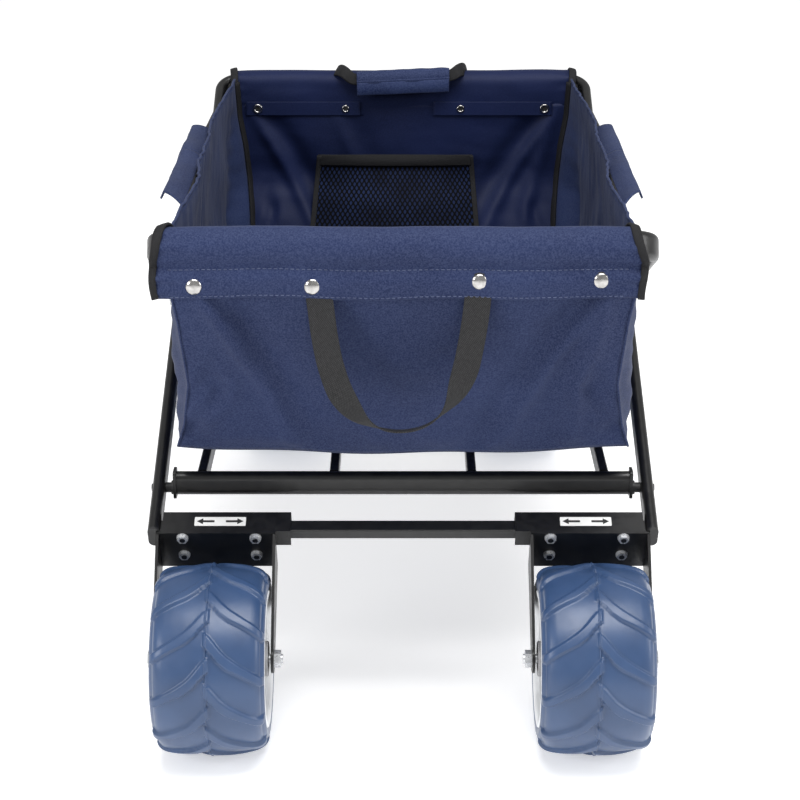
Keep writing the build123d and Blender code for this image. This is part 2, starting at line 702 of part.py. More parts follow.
def snaps(name, y, out, points, radius):
    """Press studs: a domed cap for each (x, z)."""
    with BuildPart() as caps:
        for x, z in points:
            with BuildSketch(Plane(origin=(x, y, z), x_dir=(1, 0, 0), z_dir=(0, out, 0))):
                Circle(radius)
            extrude(amount=1.2)
            with BuildSketch(Plane(origin=(x, y + out * 1.2, z), x_dir=(1, 0, 0), z_dir=(0, out, 0))):
                Circle(radius * 0.8)
            extrude(amount=1.4, taper=40)
    save(name, caps.part)


STRAP_Y = -RIM_Y - 17.5
snaps("snaps_near", STRAP_Y, -1, [(-204, 502), (-88, 502), (74, 507), (192, 508)], 8)
snaps("snaps_far", RIM_Y - 24.5, -1, [(-192, 510), (-76, 510), (76, 510), (187, 510)], 5)

LOOP_X = (-84.0, 73.0)
LOOP_TOP = 490.0
LOOP_LOW = 352.0
WEBBING = 24.0
with BuildPart() as webbing_loop:
    middle = (LOOP_X[0] + LOOP_X[1]) / 2
    half_gap = (LOOP_X[1] - LOOP_X[0]) / 2
    with BuildSketch(Plane(origin=(middle, STRAP_Y, 0), x_dir=(1, 0, 0), z_dir=(0, -1, 0))):
        with BuildLine():
            Polyline((-half_gap - WEBBING / 2, LOOP_TOP), (-half_gap - WEBBING / 2, LOOP_TOP - 40))
            ThreePointArc((-half_gap - WEBBING / 2, LOOP_TOP - 40), (0, LOOP_LOW),
                          (half_gap + WEBBING / 2, LOOP_TOP - 40))
            Polyline((half_gap + WEBBING / 2, LOOP_TOP - 40), (half_gap + WEBBING / 2, LOOP_TOP),
                     (half_gap - WEBBING / 2, LOOP_TOP), (half_gap - WEBBING / 2, LOOP_TOP - 40))
            ThreePointArc((half_gap - WEBBING / 2, LOOP_TOP - 40), (0, LOOP_LOW + WEBBING / 2),
                          (-half_gap + WEBBING / 2, LOOP_TOP - 40))
            Polyline((-half_gap + WEBBING / 2, LOOP_TOP - 40), (-half_gap + WEBBING / 2, LOOP_TOP),
                     (-half_gap - WEBBING / 2, LOOP_TOP))
        make_face()
    extrude(amount=2)
save("webbing_loop", webbing_loop.part)


def side_flaps(name, y_low, y_high):
    """Stiffened flaps that stand out from the top of each side panel."""
    inner_x = BASKET_X + 1
    with BuildPart() as flaps:
        for side in (-1, 1):
            with BuildSketch(Plane(origin=(0, y_high, 0), x_dir=(side, 0, 0), z_dir=(0, -side, 0))):
                with BuildLine():
                    Polyline((inner_x, 528), (inner_x + 22, 541), (inner_x + 22, 545),
                             (inner_x, 532), close=True)
                make_face()
            extrude(amount=side * (y_high - y_low))
    save(name, flaps.part)


side_flaps("side_flaps_rear", -170, -1)
side_flaps("side_flaps_front", 1, 122)

with BuildPart() as mesh_pocket:
    with BuildSketch(SIDE):
        with BuildLine():
            Polyline((319, 355), (322, 355), (353.5, 448.5), (350.5, 448.5), close=True)
        make_face()
    extrude(amount=98, both=True)
save("mesh_pocket", mesh_pocket.part)

CARRY_Y = RIM_Y - 28.0
CARRY_Z = 551.0
with BuildPart() as carry_grip:
    with BuildSketch(side_plane(-54)):
        with Locations((CARRY_Y, CARRY_Z)):
            SlotOverall(24, 14, rotation=90)
            Rectangle(4.4, 17.4, mode=Mode.SUBTRACT)
    extrude(amount=112)
save("carry_grip", carry_grip.part)

with BuildPart() as carry_webbing:
    with BuildSketch(side_plane(-84)):
        with Locations((CARRY_Y, CARRY_Z)):
            RectangleRounded(4, 17, 1)
    extrude(amount=168)
save("carry_webbing", carry_webbing.part)
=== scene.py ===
import json
import math

import bpy
import numpy as np
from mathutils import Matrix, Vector, noise


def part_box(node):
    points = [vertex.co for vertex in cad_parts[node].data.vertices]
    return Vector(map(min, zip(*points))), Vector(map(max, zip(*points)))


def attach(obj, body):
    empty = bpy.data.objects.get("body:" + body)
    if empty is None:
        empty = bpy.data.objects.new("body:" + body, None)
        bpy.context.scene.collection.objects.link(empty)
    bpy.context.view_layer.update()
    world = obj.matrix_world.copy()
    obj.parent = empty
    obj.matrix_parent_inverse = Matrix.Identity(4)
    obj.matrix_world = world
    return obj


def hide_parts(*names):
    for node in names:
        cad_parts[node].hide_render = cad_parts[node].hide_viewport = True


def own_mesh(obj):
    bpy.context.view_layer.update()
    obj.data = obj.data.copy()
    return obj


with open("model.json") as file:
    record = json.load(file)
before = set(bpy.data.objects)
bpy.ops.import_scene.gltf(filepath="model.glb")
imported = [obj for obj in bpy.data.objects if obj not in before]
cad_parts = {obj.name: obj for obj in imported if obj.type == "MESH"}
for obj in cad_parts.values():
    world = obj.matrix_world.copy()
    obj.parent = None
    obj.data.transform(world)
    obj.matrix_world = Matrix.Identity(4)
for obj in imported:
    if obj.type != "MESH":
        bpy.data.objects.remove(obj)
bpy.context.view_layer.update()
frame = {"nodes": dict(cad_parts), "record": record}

# Looks of a folding beach cart, in metres. The fabric basket, its trims and the treaded tyres are built
# here as curved sheets and ribbons. The frame, forks, wheel rims and fasteners are the CAD bodies.

# ---- dimensions shared with the frame ----
MIDDLE_Y = 0.0185           # the frame's origin, ahead of the pivot that lengths are measured from
RIM_Y, RIM_Z = 0.380, 0.540
FLOOR_Z = 0.2585
FLOOR_END = 0.205           # flat floor, then the chine up to the end panel
CHINE = (0.310, 0.3005)
CHINE_RUN = 0.0845          # cloth length along the chine, from the flat floor to the end panel
SIDE_TOP = 0.549
WALL_TOP = 0.500            # height where the end panels stand furthest out
WALL_OUT = 0.3940           # how far out they stand there
FAR_WALL_OUT = 0.3645       # the far panel stays inside its rim tube
CORNER_OUT = 0.3575         # top corner of the side panels
HALF_WIDTH = 0.2290         # side panels at the middle of the cart
BINDING_POINTS = 80         # centres along each rim binding
CLOTH = 0.0014
WHEEL_R = 0.100
CASTER = (0.165, 0.440)     # front wheel's place, to the side and ahead of the frame pivot
REAR_WHEEL = (0.1962, -0.403)


# ---- curves ----
def smooth(t):
    t = np.clip(t, 0.0, 1.0)
    return t * t * (3 - 2 * t)


def spline(points, t):
    """Point at share t along a smooth curve through the points, spaced by their own distances."""
    p = np.array(points, float)
    s = np.concatenate([[0], np.cumsum(np.linalg.norm(np.diff(p, axis=0), axis=1))])
    s /= s[-1]
    slopes = np.gradient(p, s, axis=0)
    t = np.clip(np.asarray(t, float), 0, 1)
    i = np.clip(np.searchsorted(s, t, side="right") - 1, 0, len(s) - 2)
    span = (s[i + 1] - s[i])[..., None]
    f = ((t - s[i]) / (s[i + 1] - s[i]))[..., None]
    return (
        p[i] * (1 + 2 * f) * (1 - f) ** 2
        + slopes[i] * span * f * (1 - f) ** 2
        + p[i + 1] * f * f * (3 - 2 * f)
        + slopes[i + 1] * span * f * f * (f - 1)
    )


def ramp(xs, ys, x):
    return np.interp(x, xs, ys)


def lumps(points, size, seed):
    """Smooth noise in -1..1 at each point, with features of the given size."""
    at = np.asarray(points, float) / size + seed * 7.31
    flat = [noise.noise(Vector(p)) for p in at.reshape(-1, 3)]
    return np.array(flat).reshape(at.shape[:-1])


def dent(u, v, u0, v0, ru, rv):
    return np.exp(-(((u - u0) / ru) ** 2) - ((v - v0) / rv) ** 2)


# ---- meshes ----
def make_object(name, verts, faces, material, uvs=None, back=None, back_faces=None, flat=False):
    mesh = bpy.data.meshes.new(name)
    mesh.from_pydata([(v[0], v[1] - MIDDLE_Y, v[2]) for v in verts], [], faces)
    mesh.materials.append(material)
    if back is not None:
        mesh.materials.append(back)
        index = np.zeros(len(faces), int)
        index[back_faces] = 1
        mesh.polygons.foreach_set("material_index", index)
    if uvs is not None:
        layer = mesh.uv_layers.new(name="UVMap")
        loops = np.zeros(len(mesh.loops), int)
        mesh.loops.foreach_get("vertex_index", loops)
        layer.data.foreach_set("uv", np.asarray(uvs, float)[loops].ravel())
    mesh.polygons.foreach_set("use_smooth", [not flat] * len(faces))
    mesh.update()
    obj = bpy.data.objects.new(name, mesh)
    bpy.context.scene.collection.objects.link(obj)
    return obj


def grid_normals(p):
    du = np.gradient(p, axis=0)
    dv = np.gradient(p, axis=1)
    n = np.cross(du, dv)
    return n / np.maximum(np.linalg.norm(n, axis=2, keepdims=True), 1e-12)


def sheet(name, points, material, thick=CLOTH, back=None, flip=False):
    """Thin cloth through a grid of points. The front faces along the grid's normals."""
    p = np.asarray(points, float)
    if flip:
        p = p[::-1]
    n = grid_normals(p)
    rows, cols = p.shape[:2]
    top = (p + n * thick / 2).reshape(-1, 3)
    low = (p - n * thick / 2).reshape(-1, 3)
    verts = np.concatenate([top, low])
    count = rows * cols
    step_u = np.linalg.norm(np.diff(p, axis=0), axis=2).mean(axis=1)
    step_v = np.linalg.norm(np.diff(p, axis=1), axis=2).mean(axis=0)
    uu, vv = np.meshgrid(
        np.concatenate([[0], np.cumsum(step_u)]), np.concatenate([[0], np.cumsum(step_v)]), indexing="ij"
    )
    uv = np.stack([uu.ravel(), vv.ravel()], axis=1)
    uvs = np.concatenate([uv, uv])
    front, rear, rim = [], [], []
    for i in range(rows - 1):
        for j in range(cols - 1):
            a = i * cols + j
            front.append((a, a + cols, a + cols + 1, a + 1))
            rear.append((a + count, a + 1 + count, a + cols + 1 + count, a + cols + count))
    edge = [i * cols for i in range(rows)] + [(rows - 1) * cols + j for j in range(1, cols)]
    edge += [i * cols + cols - 1 for i in range(rows - 2, -1, -1)] + list(range(cols - 2, 0, -1))
    for k, a in enumerate(edge):
        b = edge[(k + 1) % len(edge)]
        rim.append((b, a, a + count, b + count))
    faces = front + rear + rim
    back_faces = np.arange(len(front), len(front) + len(rear))
    return make_object(name, verts, faces, material, uvs, back, back_faces if back else None)


def ribbon(name, centres, widths, material, wide, thick):
    """Flat strap along the centres; widths gives the direction across it at each centre."""
    c = np.asarray(centres, float)
    w = np.asarray(widths, float)
    w /= np.linalg.norm(w, axis=1, keepdims=True)
    t = np.gradient(c, axis=0)
    t /= np.linalg.norm(t, axis=1, keepdims=True)
    w -= (w * t).sum(axis=1, keepdims=True) * t
    w /= np.linalg.norm(w, axis=1, keepdims=True)
    n = np.cross(w, t)
    wide = np.broadcast_to(wide, (len(c),))
    across = [(-0.5, -0.25), (-0.42, -0.5), (0, -0.58), (0.42, -0.5), (0.5, -0.25)]
    across += [(0.5, 0.25), (0.42, 0.5), (0, 0.58), (-0.42, 0.5), (-0.5, 0.25)]
    length = np.concatenate([[0], np.cumsum(np.linalg.norm(np.diff(c, axis=0), axis=1))])
    verts, uvs = [], []
    for i in range(len(c)):
        for a, b in across:
            verts.append(c[i] + w[i] * a * wide[i] + n[i] * b * thick)
            uvs.append((a * wide[i], length[i]))
    k = len(across)
    faces = []
    for i in range(len(c) - 1):
        for j in range(k):
            faces.append((i * k + j, i * k + (j + 1) % k, (i + 1) * k + (j + 1) % k, (i + 1) * k + j))
    faces.append(tuple(range(k))[::-1])
    faces.append(tuple((len(c) - 1) * k + j for j in range(k)))
    return make_object(name, verts, faces, material, uvs)


def cord(name, path, radius, material, sides=8):
    """Round piping or thread along a path."""
    c = np.asarray(path, float)
    t = np.gradient(c, axis=0)
    t /= np.linalg.norm(t, axis=1, keepdims=True)
    up = np.array([0.31, 0.17, 0.93])
    a = np.cross(t, up)
    a /= np.linalg.norm(a, axis=1, keepdims=True)
    b = np.cross(t, a)
    verts = []
    for i in range(len(c)):
        for k in range(sides):
            q = 2 * math.pi * k / sides
            verts.append(c[i] + radius * (math.cos(q) * a[i] + math.sin(q) * b[i]))
    faces = []
    for i in range(len(c) - 1):
        for k in range(sides):
            m = (k + 1) % sides
            faces.append((i * sides + k, i * sides + m, (i + 1) * sides + m, (i + 1) * sides + k))
    faces.append(tuple(range(sides))[::-1])
    faces.append(tuple((len(c) - 1) * sides + k for k in range(sides)))
    return make_object(name, verts, faces, material)


def stitches(name, path, normals, material, stitch=0.0032, gap=0.0022, radius=0.00045):
    """A row of short thread stitches lying on a path."""
    c = np.asarray(path, float)
    s = np.concatenate([[0], np.cumsum(np.linalg.norm(np.diff(c, axis=0), axis=1))])
    verts, faces = [], []
    n_all = np.asarray(normals, float)
    at = 0.0
    while at + stitch < s[-1]:
        ends = [np.array([np.interp(q, s, c[:, k]) for k in range(3)]) for q in (at, at + stitch)]
        n = np.array([np.interp(at, s, n_all[:, k]) for k in range(3)])
        n /= np.linalg.norm(n)
        d = ends[1] - ends[0]
        d /= np.linalg.norm(d)
        side = np.cross(d, n)
        base = len(verts)
        bend = d * stitch * 0.25
        for e, sink in ((ends[0], -0.2), (ends[0] + bend, 1), (ends[1] - bend, 1), (ends[1], -0.2)):
            for a, b in ((-1, 0), (0, 1), (1, 0), (0, -1)):
                verts.append(e + side * a * radius + n * (b * radius + sink * radius * 0.8))
        for i in range(3):
            for k in range(4):
                m = (k + 1) % 4
                faces.append((base + i * 4 + k, base + i * 4 + m, base + i * 4 + 4 + m, base + i * 4 + 4 + k))
        faces.append((base + 3, base + 2, base + 1, base))
        faces.append((base + 12, base + 13, base + 14, base + 15))
        at += stitch + gap
    return make_object(name, verts, faces, material)


# ---- materials ----
YARN_PITCH = 0.0016
NET_PITCH = 0.0130


def new_material(name):
    m = bpy.data.materials.new(name)
    m.use_nodes = True
    tree = m.node_tree
    return m, tree, tree.nodes["Principled BSDF"]


def noise_node(tree, coord, scale, detail=2.0, rough=0.5):
    n = tree.nodes.new("ShaderNodeTexNoise")
    n.inputs["Scale"].default_value = scale
    n.inputs["Detail"].default_value = detail
    n.inputs["Roughness"].default_value = rough
    tree.links.new(coord, n.inputs["Vector"])
    return n.outputs["Fac"]


def mix_colour(tree, fac, low, high):
    m = tree.nodes.new("ShaderNodeMix")
    m.data_type = "RGBA"
    for socket, value in ((6, low), (7, high)):
        if isinstance(value, tuple):
            m.inputs[socket].default_value = (*value, 1)
        else:
            tree.links.new(value, m.inputs[socket])
    if isinstance(fac, float):
        m.inputs[0].default_value = fac
    else:
        tree.links.new(fac, m.inputs[0])
    return m.outputs[2]


def spread(tree, fac, lo, hi, out_lo=0.0, out_hi=1.0):
    r = tree.nodes.new("ShaderNodeMapRange")
    for key, value in (("From Min", lo), ("From Max", hi), ("To Min", out_lo), ("To Max", out_hi)):
        r.inputs[key].default_value = value
    tree.links.new(fac, r.inputs["Value"])
    return r.outputs["Result"]


def maths(tree, op, a, b=None):
    m = tree.nodes.new("ShaderNodeMath")
    m.operation = op
    for i, value in enumerate((a, b)):
        if value is None:
            continue
        if isinstance(value, (int, float)):
            m.inputs[i].default_value = value
        else:
            tree.links.new(value, m.inputs[i])
    return m.outputs[0]


def bump(tree, height, strength, distance, bsdf, under=None):
    b = tree.nodes.new("ShaderNodeBump")
    b.inputs["Strength"].default_value = strength
    b.inputs["Distance"].default_value = distance
    tree.links.new(height, b.inputs["Height"])
    if under is not None:
        tree.links.new(under, b.inputs["Normal"])
    tree.links.new(b.outputs["Normal"], bsdf.inputs["Normal"])
    return b.outputs["Normal"]


def object_coord(tree):
    return tree.nodes.new("ShaderNodeTexCoord").outputs["Object"]


def uv_axes(tree):
    split = tree.nodes.new("ShaderNodeSeparateXYZ")
    tree.links.new(tree.nodes.new("ShaderNodeTexCoord").outputs["UV"], split.inputs[0])
    return split.outputs[0], split.outputs[1]


def hard(
    name, low, high, rough, metal=0.0, blotch=60.0, grain=900.0, grain_depth=0.00006, wear=0.12, coat=0.0
):
    """Painted, plated or moulded surface with soft blotches, fine grain and uneven gloss."""
    m, tree, bsdf = new_material(name)
    at = object_coord(tree)
    broad = noise_node(tree, at, blotch, 3.0)
    tree.links.new(mix_colour(tree, spread(tree, broad, 0.35, 0.65), low, high), bsdf.inputs["Base Color"])
    gloss = noise_node(tree, at, blotch * 2.3, 4.0)
    uneven = spread(tree, gloss, 0.3, 0.7, rough - wear * 0.5, rough + wear * 0.5)
    tree.links.new(uneven, bsdf.inputs["Roughness"])
    bsdf.inputs["Metallic"].default_value = metal
    bsdf.inputs["Coat Weight"].default_value = coat
    bump(tree, noise_node(tree, at, grain, 3.0), 0.5, grain_depth, bsdf)
    return m


def woven(name, dark, mid, light, rough=0.75, sheen=0.25, speckle=0.75, fold=0.0, shine=0.15):
    """Polyester cloth: mixed light and dark yarns, fine weave and soft uneven tone."""
    m, tree, bsdf = new_material(name)
    at = object_coord(tree)
    yarn = spread(tree, noise_node(tree, at, 620.0, 2.0, 0.7), 0.36, 0.64)
    tone = spread(tree, noise_node(tree, at, 9.0, 3.0), 0.3, 0.7)
    base = mix_colour(tree, tone, dark, mid)
    colour = mix_colour(tree, maths(tree, "MULTIPLY", yarn, speckle), base, light)
    tree.links.new(colour, bsdf.inputs["Base Color"])
    bsdf.inputs["Roughness"].default_value = rough
    bsdf.inputs["Sheen Weight"].default_value = sheen
    bsdf.inputs["Sheen Roughness"].default_value = 0.45
    bsdf.inputs["Specular IOR Level"].default_value = shine
    split = tree.nodes.new("ShaderNodeSeparateXYZ")
    tree.links.new(at, split.inputs[0])
    waves = []
    for k in (0, 2):
        turns = maths(tree, "MULTIPLY", split.outputs[k], 2 * math.pi / YARN_PITCH)
        waves.append(maths(tree, "SINE", turns))
    weave = maths(tree, "MULTIPLY", waves[0], waves[1])
    fine = bump(tree, weave, 0.25, 0.00012, bsdf)
    fuzz = bump(tree, noise_node(tree, at, 800.0, 2.0), 0.30, 0.00014, bsdf, fine)
    if fold:
        bump(tree, noise_node(tree, at, 34.0, 4.0), 0.6, fold, bsdf, fuzz)
    return m


def ribbed(name, dark, light, across=0.0021, along=0.0026):
    """Woven webbing: rows of small raised picks along and across the strap, the raised picks painted lighter
    than the hollows between them as painted highlight.
    """
    m, tree, bsdf = new_material(name)
    u, v = uv_axes(tree)
    cross = maths(tree, "SINE", maths(tree, "MULTIPLY", u, 2 * math.pi / across))
    row = maths(tree, "SINE", maths(tree, "MULTIPLY", v, 2 * math.pi / along))
    picks = spread(tree, maths(tree, "MULTIPLY", cross, row), -1.0, 1.0)
    speck = noise_node(tree, object_coord(tree), 420.0, 2.0)
    # Colour follows the picks: light on the raised picks, dark between them, a painted highlight on black
    # webbing.
    painted_pick_highlight = maths(tree, "MULTIPLY", picks, spread(tree, speck, 0.3, 0.7, 0.5, 1.0))
    tree.links.new(mix_colour(tree, painted_pick_highlight, dark, light), bsdf.inputs["Base Color"])
    bsdf.inputs["Roughness"].default_value = 0.62
    bsdf.inputs["Specular IOR Level"].default_value = 0.22
    bump(tree, picks, 0.8, 0.0004, bsdf)
    return m


def netting(name, thread, gap):
    """Knitted net: diagonal threads over the darker cloth behind."""
    m, tree, bsdf = new_material(name)
    u, v = uv_axes(tree)
    lines = []
    for sign in (1, -1):
        d = maths(tree, "ADD", maths(tree, "MULTIPLY", u, 1.0), maths(tree, "MULTIPLY", v, sign * 0.62))
        wave = maths(tree, "SINE", maths(tree, "MULTIPLY", d, 2 * math.pi / NET_PITCH))
        lines.append(maths(tree, "ABSOLUTE", wave))
    hole = spread(tree, maths(tree, "MULTIPLY", lines[0], lines[1]), 0.28, 0.62)
    worn = spread(tree, noise_node(tree, object_coord(tree), 26.0, 3.0), 0.35, 0.7, 0.45, 1.0)
    colour = mix_colour(tree, maths(tree, "MULTIPLY", hole, worn), thread, gap)
    tree.links.new(colour, bsdf.inputs["Base Color"])
    bsdf.inputs["Roughness"].default_value = 0.7
    bsdf.inputs["Specular IOR Level"].default_value = 0.08
    bump(tree, maths(tree, "MULTIPLY", hole, -1.0), 0.7, 0.0004, bsdf)
    return m


MAT = {
    "frame_black": hard(
        "powder_coat_black", (0.0028, 0.0028, 0.0032), (0.006, 0.006, 0.0065), 0.36, wear=0.16, coat=0.05
    ),
    "black_plastic": hard("plastic_black", (0.010, 0.010, 0.011), (0.018, 0.018, 0.019), 0.5),
    "zinc": hard("zinc_plate", (0.50, 0.51, 0.53), (0.72, 0.73, 0.74), 0.30, 0.6, 140.0, 1400.0, 0.00003),
    "snap_chrome": hard(
        "snap_chrome", (0.36, 0.35, 0.34), (0.50, 0.49, 0.48), 0.17, 1.0, 160.0, 1600.0, 0.000006, 0.08
    ),
    "tyre_blue": hard(
        "tyre_plastic_blue", (0.029, 0.060, 0.138), (0.037, 0.073, 0.162),
        0.34, 0.0, 25.0, 520.0, 0.00007, 0.12,
    ),
    "wheel_white": hard("wheel_plastic_white", (0.72, 0.73, 0.75), (0.82, 0.83, 0.84), 0.38, blotch=30.0),
    "nylon_grey": hard("nylon_grey", (0.20, 0.20, 0.21), (0.30, 0.30, 0.31), 0.55),
    "marker_white": hard("film_white", (0.78, 0.78, 0.77), (0.88, 0.88, 0.87), 0.4, blotch=40.0),
    # Black webbing; the lighter colour on its raised picks is painted highlight.
    "black_webbing": ribbed("webbing_black", (0.002, 0.002, 0.002), (0.050, 0.050, 0.053)),
}
# Black binding tape; the lighter colour on its raised picks is painted highlight.
BINDING = ribbed("binding_black", (0.006, 0.006, 0.007), (0.020, 0.020, 0.022), 0.0016, 0.0016)
OUTER = woven(
    "cloth_outer_navy", (0.0075, 0.0140, 0.051), (0.0130, 0.0225, 0.072), (0.056, 0.074, 0.150),
    0.70, 0.04, 0.50, 0.0016,
)
# Inner face of the cloth: smoother and less speckled than the outside, and coloured darker to paint the shade
# inside the basket (painted shade).
SHADED_LINING = woven(
    "cloth_lining_navy_painted_shade", (0.0045, 0.0085, 0.034), (0.0070, 0.0125, 0.052), (0.012, 0.020, 0.068),
    0.55, 0.02, 0.45, 0.0012,
)
# The same inner cloth for the side panels' inner faces and the grip lap, coloured lighter than the lining
# elsewhere: painted light.
LIT_SIDE_LINING = woven(
    "cloth_side_navy_painted_light", (0.008, 0.016, 0.060), (0.020, 0.033, 0.098), (0.048, 0.066, 0.140),
    0.62, 0.06, 0.5, 0.0020,
)
NET = netting("net_black", (0.0010, 0.0010, 0.0016), (0.013, 0.024, 0.072))
THREAD = hard("thread_navy", (0.045, 0.060, 0.125), (0.080, 0.100, 0.180), 0.7)
# Near-black for the discs in and under the press studs: painted shade.
SNAP_SHADE = hard("snap_painted_shade", (0.004, 0.004, 0.004), (0.010, 0.010, 0.010), 0.6)
INK = hard("ink_black", (0.010, 0.010, 0.010), (0.020, 0.020, 0.020), 0.5)

for sub in frame["record"]["subparts"]:
    node = frame["nodes"][sub["node"]]
    finish = MAT.get(sub["material_slot"], OUTER)
    if sub["node"].endswith("floor_bolts"):
        finish = MAT["black_plastic"]
    if node.data.materials:
        for i in range(len(node.data.materials)):
            node.data.materials[i] = finish
    else:
        node.data.materials.append(finish)


# ---- basket shape ----
def near_wall(z):
    """How far out the end panel stands at height z, measured from the middle of the cart."""
    low = np.clip((WALL_TOP - z) / (WALL_TOP - CHINE[1]), 0, 1)
    return WALL_OUT - (WALL_OUT - CHINE[0]) * low ** 1.22


def wall_at(end, z):
    """The near panel hangs outside its rim tube, the far one inside it."""
    out = near_wall(z)
    if end < 0:
        return out
    share = smooth((out - 0.352) / 0.026)
    return out * (1 - share) + FAR_WALL_OUT * share


SEAM_Z = (0.296, 0.330, 0.385, 0.460, 0.500, 0.556)
NEAR_SEAM_X = (0.2365, 0.2260, 0.2170, 0.2215, 0.2270, 0.2280)
FAR_SEAM_X = (0.2140, 0.2020, 0.2050, 0.2120, 0.2190, 0.2215)
TOP_EDGE_Y = (-0.380, -0.265, -0.200, -0.140, -0.070, -0.030, 0.045, 0.130, 0.220, 0.370)
TOP_EDGE_X = (0.2277, 0.2262, 0.2220, 0.2217, 0.2290, 0.2285, 0.2278, 0.2330, 0.2297, 0.2215)


def seam_x(end, z):
    return ramp(SEAM_Z, NEAR_SEAM_X if end < 0 else FAR_SEAM_X, z)


def corner_curve(end, t):
    """Corner between the side and end panels, from the chine up to the rim."""
    t = np.asarray(t, float)
    low = np.clip(t / 0.82, 0, 1)
    high = np.clip((t - 0.82) / 0.18, 0, 1)
    z = CHINE[1] + (WALL_TOP - CHINE[1]) * low + (SIDE_TOP - WALL_TOP) * high
    y = wall_at(end, np.minimum(z, WALL_TOP))
    y = y + (CORNER_OUT - wall_at(end, WALL_TOP)) * smooth(high)
    return np.stack([seam_x(end, z), end * y, z], axis=-1)


def floor_half_width(end, share):
    """Half width of the floor at a share of the way to the end panel."""
    corner = (seam_x(end, CHINE[1]) - HALF_WIDTH - 0.006) * smooth((share - 0.8) / 0.2)
    return HALF_WIDTH + 0.006 * share + corner


def side_panel(side, end, rows=60, cols=46):
    """Side panel of one half: wavy top edge, swelling belly and gathers near the corner seam."""
    a = np.linspace(0, 1, rows)[:, None]
    b = np.linspace(0, 1, cols)[None, :]
    flat = FLOOR_END / (FLOOR_END + CHINE_RUN)
    up_chine = (a - flat) / (1 - flat)
    low_y = np.where(a < flat, a / flat * FLOOR_END, FLOOR_END + up_chine * (CHINE[0] - FLOOR_END))
    low_z = np.where(a < flat, FLOOR_Z, FLOOR_Z + up_chine * (CHINE[1] - FLOOR_Z))
    low_x = floor_half_width(end, a)
    top_y = a * CORNER_OUT
    top_x = ramp(TOP_EDGE_Y, TOP_EDGE_X, end * top_y)
    top_z = SIDE_TOP - 0.004 * np.cos(a * math.pi / 2)
    low = np.stack([low_x, end * low_y, low_z], axis=-1)
    top = np.stack([top_x, end * top_y, top_z], axis=-1)
    inner_x = HALF_WIDTH + (top_x[0, 0] - HALF_WIDTH) * smooth(b)
    inner = np.stack([inner_x, 0 * b, FLOOR_Z + (SIDE_TOP - 0.004 - FLOOR_Z) * b], axis=-1)
    outer = corner_curve(end, b)
    corners = (
        (1 - a)[..., None] * (1 - b)[..., None] * low[0, 0]
        + (1 - a)[..., None] * b[..., None] * top[0, 0]
        + a[..., None] * (1 - b)[..., None] * low[-1, 0]
        + a[..., None] * b[..., None] * top[-1, 0]
    )
    p = (
        (1 - b)[..., None] * low
        + b[..., None] * top
        + (1 - a)[..., None] * inner
        + a[..., None] * outer
        - corners
    )
    inside = np.sin(math.pi * b) ** 0.8
    reach = smooth((1 - a) / 0.12)
    belly = 0.0090 * np.sin(math.pi * np.clip(b * 1.05, 0, 1)) * reach
    belly += 0.010 * dent(a, b, 0.90, 0.30, 0.10, 0.30) * reach
    y, z = p[..., 1], p[..., 2]
    coarse = lumps(np.stack([y * 0 + side, y, z + y * 0.6 * end], axis=-1), 0.075, 3 + side + end)
    ridge = lumps(np.stack([y * 1.7, z * 0.6 + y, z * 0 + side], axis=-1), 0.030, 9 + side * 2 + end)
    gather = np.sin(z * 250 + 2.2 * coarse) * smooth((a - 0.72) / 0.28)
    fade = smooth(b / 0.10) * smooth(a / 0.06) * reach
    wave = 0.0050 * coarse * inside * fade - 0.0032 * np.abs(ridge) * fade + 0.0010 * gather * fade
    p[..., 0] += belly + wave
    p[..., 0] = np.minimum(p[..., 0], np.where(np.abs(y) > 0.30, 0.2375, 0.2385) + 0.004 * (z < 0.42))
    p[..., 0] *= side
    return p


# Slanting folds of an end panel: side, foot across the panel, lean, depth.
FOLDS = [(-1, 0.46, 0.44, 0.0105), (1, 0.40, 0.50, 0.0095), (1, 0.74, 0.18, 0.0060), (-1, 0.10, 0.30, 0.0055)]


def end_panel(end, rows=90, cols=46, top=0.516):
    """End panel between its corner seams, with broad slack folds and puckered lower corners."""
    u = np.linspace(-1, 1, rows)[:, None]
    z = np.linspace(CHINE[1], top, cols)[None, :] + 0 * u
    b = (z - CHINE[1]) / (WALL_TOP - CHINE[1])
    x = u * seam_x(end, z)
    y = wall_at(end, z)
    middle = 1 - u ** 2
    sag = -0.0075 * middle * (1 - smooth(b / 0.35))
    z = z + sag + 0.0012 * np.sin(u * 9) * (1 - smooth(b / 0.2))
    slack = smooth((1 - np.abs(u)) / 0.10) * smooth((1.12 - b) / 0.35)
    flat = np.stack([x, x * 0.0, z], axis=-1)
    broad = lumps(flat + np.stack([z * 0.9, z * 0, x * 0], axis=-1), 0.105, 5 + end)
    fine = lumps(np.stack([x * 0.7 + z * 0.8, x * 0, z * 1.6 - x * 0.4], axis=-1), 0.040, 11 + end)
    out = 0.0050 * broad * slack - 0.0022 * np.abs(fine) * slack
    out += 0.0050 * middle * dent(u, b, 0, 0.25, 3, 0.42)
    for s, foot, lean, deep in FOLDS:
        off = s * u - foot - lean * b
        crest = np.exp(-((off / 0.040) ** 2)) - 1.1 * np.exp(-(((off + 0.11) / 0.075) ** 2))
        out += deep * crest * slack * (0.45 + 0.55 * b)
    for s in (-1, 1):
        ridge = 0.0035 * dent(u, b, s * 0.80, 0.40, 0.035, 0.10)
        out += ridge - 0.0060 * dent(u, b, s * 0.87, 0.40, 0.045, 0.07)
        out -= 0.0050 * dent(u - s * 0.02, b - 0.10 * np.abs(u), s * 0.93, 0.02, 0.05, 0.06)
        out += 0.0022 * np.sin((b * 0.6 + np.abs(u)) * 46) * dent(u, b, s * 0.90, 0.30, 0.09, 0.35)
    out *= smooth(b / 0.09)
    if end > 0:
        out *= -0.8
    return np.stack([x, end * (y + out), z], axis=-1)


